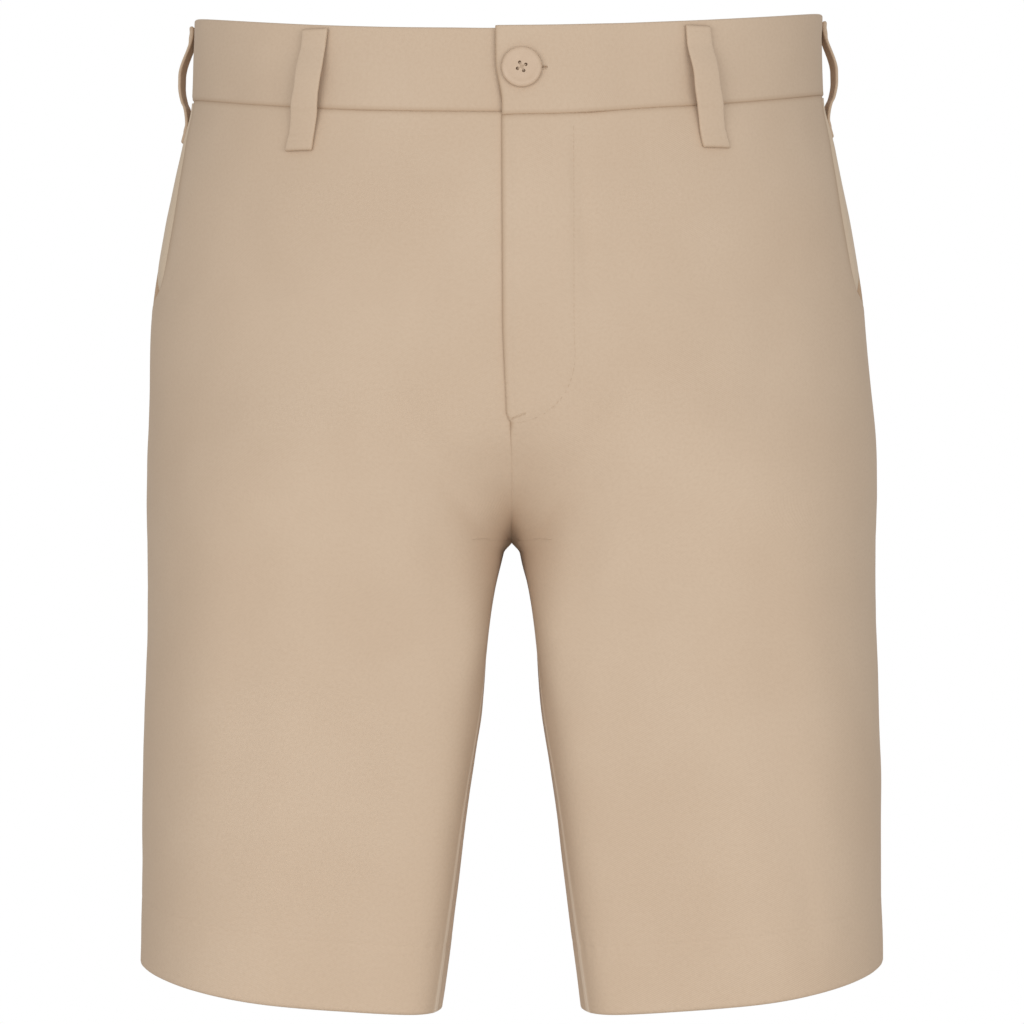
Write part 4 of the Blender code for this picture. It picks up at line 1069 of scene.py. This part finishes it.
def belt_loop(half, degrees_top, degrees_bottom, bulge, seed):
    """A loop as a closed grid: sections once round, from its bottom to its top."""
    top, bottom, seam, ends = loop_frame(half, degrees_top, degrees_bottom)
    near = (0.0, 0.0002, 0.0005, 0.0009, 0.0015, 0.0022)
    height = bottom + spaced(top - bottom, near, near, 84)
    across, through = loop_profile().T[:, :, None]
    from_end = np.minimum(height - bottom, top - height)
    folded = ease((LOOP_FOLD + 0.0024 - from_end) / 0.0040)
    wall = LOOP_WALL + LOOP_FOLD_WALL * folded
    squeeze = end_squeeze(from_end, LOOP_END)
    crown = LOOP_CROWN * (1 - (across / LOOP_WIDTH * 2) ** 2)
    chance = np.random.default_rng(seed)
    waver = 0.00018 * np.sin(height * 2 * math.pi / 0.021 + chance.uniform(0, 6, 2)[:, None, None])
    from_upper = np.abs(top - LOOP_TACKS[0] - height)
    from_lower = np.abs(height - bottom - LOOP_TACKS[1])
    pulled = hump(np.minimum(from_upper, from_lower), 0.0010)
    lift = wall / 2 + (through - 0.5) * (wall - TACK_DEEP * pulled * (through > 0.5)) * squeeze
    lift = lift + crown * (through > 0.5) * squeeze
    air = loop_air(height, top, bottom, bulge)
    centre = ends[0] + (ends[1] - ends[0]) * (height - bottom) / (top - bottom)
    aside = across * (1 - 0.006 * pulled) + waver[0] * (across > 0) + waver[1] * (across < 0)
    aside = aside * (1 - 0.05 * (1 - squeeze))
    points, _ = WAIST.point(centre + aside, seam + height + 0 * across, air + lift)
    # Painted shade at the loop's folded ends, and on its sides and underside where it stands off
    # the band.
    edge = 0.6 * hump(from_end, 0.0009) + 0.25 * (1 - through)
    return points, np.clip(edge, 0, 1), 0 * height + across, seam + height + 0 * across


for seed, (node, *loop) in enumerate(LOOPS):
    points, edge, across, z = belt_loop(*loop, 70 + seed)
    piece = grid_piece(f"{node}_cloth", once_round(points), cloth_twill, once_round(edge),
                       [once_round(across), once_round(z)], closed=True)
    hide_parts(node)
    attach(piece, "root")


# ---------------------------------------------------------------- zip
# A closed nylon coil zip on woven tape, behind the fly. Only its back and the top of its tape can
# be seen, from inside the waist.
ZIP_TAPES = ((-0.0095, 0.0050), (0.0060, 0.0200))  # x of each tape's edges
ZIP_TAPE_WALL = 0.0006
ZIP_TOP_Z = -0.0500
ZIP_BOTTOM_Z = -0.1580
ZIP_DEPTH = 0.0029
COIL_AT = 0.0055  # x of the coil's middle
COIL_PITCH = 0.0018
COIL_TOOTH = (0.0030, 0.0008, 0.0009)  # across, deep and tall

tape_paint, tape_tree, tape_shader = new_material("woven_polyester_tape")
tape_lengths = add_node(tape_tree, "ShaderNodeUVMap", {"uv_map": "cloth"}).outputs["UV"]
# A herringbone weave with threads about 0.25 mm apart, drawn at 0.8 mm so that it shows.
tape_weave = add_node(tape_tree, "ShaderNodeTexWave", {"bands_direction": "DIAGONAL"},
                      Vector=tape_lengths, Scale=400.0, Distortion=1.5).outputs["Fac"]
tape_colour = add_node(tape_tree, "ShaderNodeMix", {"data_type": "RGBA"},
                       Factor=tape_weave, i6=srgb("#BDA288"), i7=srgb("#CBB299")).outputs[2]
tape_bump = add_node(tape_tree, "ShaderNodeBump", None, Strength=0.3, Distance=0.0001,
                     Height=tape_weave).outputs["Normal"]
tape_tree.links.new(tape_colour, tape_shader.inputs["Base Color"])
tape_tree.links.new(tape_bump, tape_shader.inputs["Normal"])
tape_shader.inputs["Roughness"].default_value = 0.7

zip_levels = np.arange(-0.170, -0.040, 0.002)
zip_lines = Sections(zip_levels, [cut_line(z, -1, -30.0) for z in zip_levels])


def behind_fly(x, z, depth):
    """Points behind the fly, at a depth under the form, and their outward directions."""
    share = np.abs(x) / zip_lines.width(z)
    here = zip_lines.at(share, z)
    way = zip_lines.at(share + 0.01, z) - here
    out = np.stack([way[..., 1] * np.sign(x + 1e-9), -way[..., 0], 0 * x], axis=-1)
    out /= np.linalg.norm(out, axis=-1, keepdims=True)
    here[..., 0] *= np.sign(x + 1e-9)
    return swayed(here - out * np.asarray(depth)[..., None]), out


def placed(at, across, out, size):
    """The transform of a small part: its middle, its own way across, its way out and its size."""
    across = (across - out * np.dot(across, out)) / np.linalg.norm(across)
    axes = np.stack([across, out, np.cross(across, out)], axis=1) * np.array(size)
    return Matrix.Translation(at) @ Matrix(axes.tolist()).to_4x4()


for side_name, (first, last) in zip(("right", "left"), ZIP_TAPES):
    down_tape, over_tape = np.linspace(ZIP_TOP_Z, ZIP_BOTTOM_Z, 60), np.linspace(first, last, 12)
    z, x = np.meshgrid(down_tape, over_tape, indexing="ij")
    points, _ = behind_fly(x, z, np.full_like(z, ZIP_DEPTH - 0.0008))
    tape = grid_piece(f"zip_tape_{side_name}", points, tape_paint, 0.0, (x, z), from_axis)
    thickened(tape, ZIP_TAPE_WALL)
    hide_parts("zip")
    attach(tape, "root")

coil_shape = bmesh.new()
for tooth in range(int((ZIP_TOP_Z - ZIP_BOTTOM_Z - 0.006) / COIL_PITCH * 2)):
    z = ZIP_TOP_Z - 0.003 - tooth * COIL_PITCH / 2
    x = COIL_AT + (0.0006 if tooth % 2 else -0.0006)
    at, out = behind_fly(np.array([x]), np.array([z]), np.array([ZIP_DEPTH - 0.0003]))
    place = placed(at[0], np.array([1.0, 0.0, 0.0]), out[0], COIL_TOOTH)
    bmesh.ops.create_cube(coil_shape, size=1.0, matrix=place)
bmesh.ops.bevel(coil_shape, geom=coil_shape.edges[:], offset=0.00018, affect="EDGES", segments=1,
                profile=0.5, material=-1)


def mottled(name, low, high, size, detail, rough):
    """A finish that varies softly between two shades, in patches of a size."""
    made, tree, shader = new_material(name)
    place = add_node(tree, "ShaderNodeTexCoord").outputs["Object"]
    mottle = add_node(tree, "ShaderNodeTexNoise", None,
                      Vector=place, Scale=1 / size, Detail=detail).outputs["Fac"]
    colour = add_node(tree, "ShaderNodeMix", {"data_type": "RGBA"},
                      Factor=mottle, i6=srgb(low), i7=srgb(high)).outputs[2]
    tree.links.new(colour, shader.inputs["Base Color"])
    shader.inputs["Roughness"].default_value = rough
    return made, tree, shader, place


# Nylon drawn and moulded into teeth: smooth, with a dull shine.
nylon = mottled("moulded_nylon_coil", "#B79C82", "#C6AC92", 0.002, 2.0, 0.4)[0]


def joined(name, shape, finish, smooth=True):
    """A bmesh of small parts as one piece that rides on the garment."""
    mesh = bpy.data.meshes.new(name)
    bmesh.ops.recalc_face_normals(shape, faces=shape.faces)
    shape.to_mesh(mesh)
    shape.free()
    mesh.materials.append(finish)
    if smooth:
        mesh.shade_smooth()
    made = in_scene(name, mesh)
    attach(made, "root")
    return made


joined("zip_coil", coil_shape, nylon, smooth=False)


# ---------------------------------------------------------------- button
# A four-hole button of moulded urea resin, dyed to the cloth, with a soft rim round a flat middle.
# It is sewn to the right end of the band on a thread stem and comes through the left one.
BUTTON_RADIUS = 0.0096
BUTTON_THICK = 0.0026
BUTTON_SHANK = 0.0006
BUTTON_HOLE = 0.0008
BUTTON_HOLE_OUT = 0.0022  # from its middle to the middle of each hole
BUTTON_TURN = 26.0
BUTTON_PROFILE = (  # shares of the radius and of the thickness
    (0.00, 0.84), (0.30, 0.84), (0.50, 0.85), (0.60, 0.87), (0.68, 0.93), (0.74, 0.98),
    (0.80, 1.00), (0.86, 0.99), (0.92, 0.93), (0.97, 0.80), (0.995, 0.64), (1.00, 0.50),
    (0.985, 0.36), (0.95, 0.22), (0.88, 0.12), (0.74, 0.02), (0.50, 0.00), (0.00, 0.00),
)

# Urea resin has a satin skin with a very soft cloudiness, a few millimetres across.
resin, resin_tree, resin_shader, resin_place = mottled(
    "moulded_urea_resin", "#C7AD93", "#D0B79E", 0.004, 3.0, 0.42
)
resin_grain = add_node(resin_tree, "ShaderNodeTexNoise", None, Vector=resin_place,
                       Scale=1 / 0.0006, Detail=2.0).outputs["Fac"]
resin_bump = add_node(resin_tree, "ShaderNodeBump", None, Strength=0.08, Distance=0.00005,
                      Height=resin_grain).outputs["Normal"]
resin_tree.links.new(resin_bump, resin_shader.inputs["Normal"])
resin_shader.inputs["Specular IOR Level"].default_value = 0.4

button_raised = band_raised(np.array(BUTTON_AT[0]), 1)
button_at, button_out = WAIST.point(np.array(BUTTON_AT[0]), np.array(BUTTON_AT[1]), button_raised)
button_turned = Vector(button_out).to_track_quat("Z", "Y").to_matrix().to_4x4()
button_place = Matrix.Translation(button_at) @ button_turned

button_shape = bmesh.new()
rim = [button_shape.verts.new((BUTTON_RADIUS * r, 0.0, SEAM_GAP + BUTTON_THICK * h))
       for r, h in BUTTON_PROFILE]
outline = [button_shape.edges.new(pair) for pair in zip(rim, rim[1:])]
bmesh.ops.spin(button_shape, geom=rim + outline, cent=(0, 0, 0), axis=(0, 0, 1),
               angle=2 * math.pi, steps=72, use_merge=True)
bmesh.ops.remove_doubles(button_shape, verts=button_shape.verts, dist=1e-6)
bmesh.ops.recalc_face_normals(button_shape, faces=button_shape.faces)
drill_shape = bmesh.new()
hole_places = []
for k in range(4):
    turn = math.radians(BUTTON_TURN + 90.0 * k)
    aside = Vector((BUTTON_HOLE_OUT * math.cos(turn), BUTTON_HOLE_OUT * math.sin(turn), 0.0))
    hole_places.append(aside)
    bmesh.ops.create_cone(drill_shape, cap_ends=True, segments=28, radius1=BUTTON_HOLE,
                          radius2=BUTTON_HOLE, depth=0.02, matrix=Matrix.Translation(aside))
button_objects = []
for shape_name, shape in (("button_blank", button_shape), ("button_drill", drill_shape)):
    mesh = bpy.data.meshes.new(shape_name)
    shape.to_mesh(mesh)
    shape.free()
    button_objects.append(in_scene(shape_name, mesh))
blank, drill = button_objects
drilled = blank.modifiers.new("holes", "BOOLEAN")
drilled.operation, drilled.object, drilled.solver = "DIFFERENCE", drill, "EXACT"
bpy.context.view_layer.update()
graph = bpy.context.evaluated_depsgraph_get()
button_mesh = bpy.data.meshes.new_from_object(blank.evaluated_get(graph))
for spare in button_objects:
    bpy.data.objects.remove(spare)
button_mesh.name = "button_resin"
button_mesh.transform(button_place)
button_mesh.materials.clear()
button_mesh.materials.append(resin)
button_mesh.shade_smooth()
button_mesh.set_sharp_from_angle(angle=math.radians(35))
button_piece = in_scene("button_resin", button_mesh)
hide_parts("button")
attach(button_piece, "root")


# ---------------------------------------------------------------- threads
# Spun polyester sewing thread in the cloth's shade: the line of stitches that holds the fly's
# facing, the tacks at its foot and on the loops, the buttonhole's edge, and the button's shank.
THREAD = 0.00034
STITCH = 0.0026  # length of one stitch
STITCH_PITCH = 0.0030
TACK_PITCH = 0.00045
FLY_LINE_TOP = -0.0405
FLY_TACK = ((0.0006, -0.1815), (0.0082, -0.1785))  # x and z of the ends of the tack at its foot
TACK_INSET = 0.0024  # how much narrower than its loop a tack is

# Its twisted plies catching the light in turns about half a millimetre apart are a painted
# highlight, a soft mottle between two shades, under a faint fuzz.
thread_paint, _, thread_shader, _ = mottled(
    "spun_polyester_thread", "#BEA488", "#D2BBA2", 0.0005, 2.0, 0.6
)
thread_shader.inputs["Sheen Weight"].default_value = 0.1


def add_stitch(shape, at, way, out, length, thick=THREAD):
    """One stitch, as a slim egg shape lying on the cloth."""
    place = placed(np.array(at), np.array(way), np.array(out), (length / 2, thick / 2, thick / 2))
    lying = place @ Matrix.Rotation(math.radians(90), 4, "Y")
    bmesh.ops.create_uvsphere(shape, u_segments=6, v_segments=5, radius=1.0, matrix=lying)


def on_cloth(piece, x, z):
    """The point of a piece's front at x and z, and its outward direction."""
    hit, at, out, _ = piece.ray_cast((x, -1.0, z), (0.0, 1.0, 0.0))
    return np.array(at), np.array(out)


bpy.context.view_layer.update()
fly_shape = bmesh.new()
fine = np.linspace(0, 1, 400)
quarter = fine * math.radians(84)
fly_x = np.concatenate([FLY_WIDTH + 0 * fine, FLY_WIDTH * np.cos(quarter)])
fly_z = np.concatenate([FLY_LINE_TOP + (FLY_TURN_Z - FLY_LINE_TOP) * fine,
                        FLY_TURN_Z - (FLY_TURN_Z - FLY_BOTTOM_Z) * np.sin(quarter)])
bottom, top = LEG_SWAY_Z
fly_x = fly_x + LEG_SWAY * (1 - ease((fly_z - bottom) / (top - bottom)))
travel = running_length(np.stack([fly_x, fly_z], axis=1))
for middle in np.arange(STITCH_PITCH, travel[-1], STITCH_PITCH):
    ends = [[np.interp(middle + step, travel, line) for line in (fly_x, fly_z)]
            for step in (-STITCH / 2, STITCH / 2)]
    (first, _), (last, out) = (on_cloth(panels["front_left"], *end) for end in ends)
    add_stitch(fly_shape, (first + last) / 2 - out * 0.00005, last - first, out, STITCH)
(x0, z0), (x1, z1) = FLY_TACK
for share in np.linspace(0, 1, 20):
    at, out = on_cloth(panels["front_left"], x0 + (x1 - x0) * share, z0 + (z1 - z0) * share)
    add_stitch(fly_shape, at, (z0 - z1, 0.0, x1 - x0), out, 0.0013)
joined("fly_threads", fly_shape, thread_paint)

tack_shape = bmesh.new()
for _, half, degrees_top, degrees_bottom, bulge in LOOPS:
    top, bottom, seam, ends = loop_frame(half, degrees_top, degrees_bottom)
    for height in (top - LOOP_TACKS[0], bottom + LOOP_TACKS[1]):
        centre = ends[0] + (ends[1] - ends[0]) * (height - bottom) / (top - bottom)
        count = int((LOOP_WIDTH - TACK_INSET) / TACK_PITCH)
        aside = np.linspace(-0.5, 0.5, count) * (LOOP_WIDTH - TACK_INSET)
        lift = float(loop_air(height, top, bottom, bulge)) + LOOP_WALL + LOOP_FOLD_WALL
        lift = lift + LOOP_CROWN * (1 - (2 * aside / LOOP_WIDTH) ** 2) - TACK_DEEP
        at, out = WAIST.point(centre + aside, np.full(count, seam + height), lift)
        for k in range(count):
            add_stitch(tack_shape, at[k], (0.0, 0.0, 1.0), out[k], 0.0012)
joined("loop_tacks", tack_shape, thread_paint)

purl_shape = bmesh.new()
for edge in (-1, 1):
    for x in np.arange(BUTTONHOLE[0], BUTTONHOLE[1] - 0.0004, THREAD):
        z = BUTTON_AT[1] + edge * (BUTTONHOLE_WIDE / 2 + 0.00045)
        at, out = WAIST.point(np.array(x), np.array(z), band_raised(np.array(x), 1) + 0.00010)
        add_stitch(purl_shape, at, (0.0, 0.0, 1.0), out, 0.0009, 0.00024)
joined("buttonhole_purl", purl_shape, thread_paint)

shank_shape = bmesh.new()
middle_height = SEAM_GAP + 0.84 * BUTTON_THICK
for first, last in ((0, 2), (1, 3)):
    for aside in (-0.00026, 0.0, 0.00026):
        ends = [hole_places[k].copy() for k in (first, last)]
        way = (ends[1] - ends[0]).normalized()
        across = Vector((-way.y, way.x, 0.0)) * aside
        lift = Vector((0, 0, middle_height + (0.00022 if first else 0.0)))
        middle = button_place @ (across + lift)
        turned = button_turned.to_3x3() @ way
        add_stitch(shank_shape, middle, turned, button_out, 2 * BUTTON_HOLE_OUT + 0.0006, 0.00030)
below = WAIST.point(np.array(BUTTON_AT[0]), np.array(BUTTON_AT[1]),
                    band_raised(np.array(-BUTTON_AT[0]), -1))[0]
stem = SEAM_GAP - float(np.dot(button_at - below, button_out))
stem_place = button_place @ Matrix.Translation((0, 0, (SEAM_GAP + stem) / 2))
bmesh.ops.create_cone(shank_shape, cap_ends=True, segments=20, radius1=BUTTON_SHANK,
                      radius2=BUTTON_SHANK, depth=SEAM_GAP - stem + 0.0004, matrix=stem_place)
joined("button_thread", shank_shape, thread_paint)


# ---------------------------------------------------------------- floor and light
# A pale round floor below the shorts, white air around them, a broad soft light in front and a
# weaker one behind.
FLOOR_Z = cad_low[2] - 0.105
FLOOR_RADIUS = 0.55

floor_shape = bmesh.new()
bmesh.ops.create_circle(floor_shape, cap_ends=True, segments=128, radius=FLOOR_RADIUS)
bmesh.ops.translate(floor_shape, verts=floor_shape.verts, vec=(0, 0, FLOOR_Z))
floor_mesh = bpy.data.meshes.new("floor")
floor_shape.to_mesh(floor_mesh)
floor_shape.free()
floor = in_scene("floor", floor_mesh)
floor_paint, _, floor_shader = new_material("floor_paper")
floor_shader.inputs["Base Color"].default_value = srgb("#F3F1EE")
floor_shader.inputs["Roughness"].default_value = 0.9
floor_mesh.materials.append(floor_paint)

world = bpy.data.worlds.new("studio")
bpy.context.scene.world = world
world.use_nodes = True
air = world.node_tree
air.nodes.clear()
seen = add_node(air, "ShaderNodeLightPath").outputs["Is Camera Ray"]
white = add_node(air, "ShaderNodeBackground", None, Color=(1, 1, 1, 1), Strength=1.0)
glow = add_node(air, "ShaderNodeBackground", None, Color=(1, 1, 1, 1), Strength=0.50)
both = add_node(air, "ShaderNodeMixShader", None, i0=seen, i1=glow.outputs[0], i2=white.outputs[0])
add_node(air, "ShaderNodeOutputWorld", None, Surface=both.outputs[0])

LAMPS = (  # name, place, what it points at, side and watts
    ("front_softbox", (0.0, -3.1, 0.20), (0.0, 0.0, -0.20), 2.6, 19.5),
    ("right_fill", (-1.5, -2.6, -0.10), (0.0, 0.0, -0.25), 1.6, 17.0),
    ("left_fill", (1.5, -2.6, -0.10), (0.0, 0.0, -0.25), 1.6, 17.0),
    ("back_softbox", (0.0, 3.2, 0.9), (0.0, 0.0, -0.20), 2.6, 40.0),
)
for lamp_name, at, aim, side, watts in LAMPS:
    lamp_data = bpy.data.lights.new(lamp_name, "AREA")
    lamp_data.size = side
    lamp_data.energy = watts
    lamp = in_scene(lamp_name, lamp_data)
    lamp.location = at
    lamp.rotation_euler = (Vector(aim) - Vector(at)).to_track_quat("-Z", "Y").to_euler()
bpy.context.scene.view_settings.view_transform = "Standard"
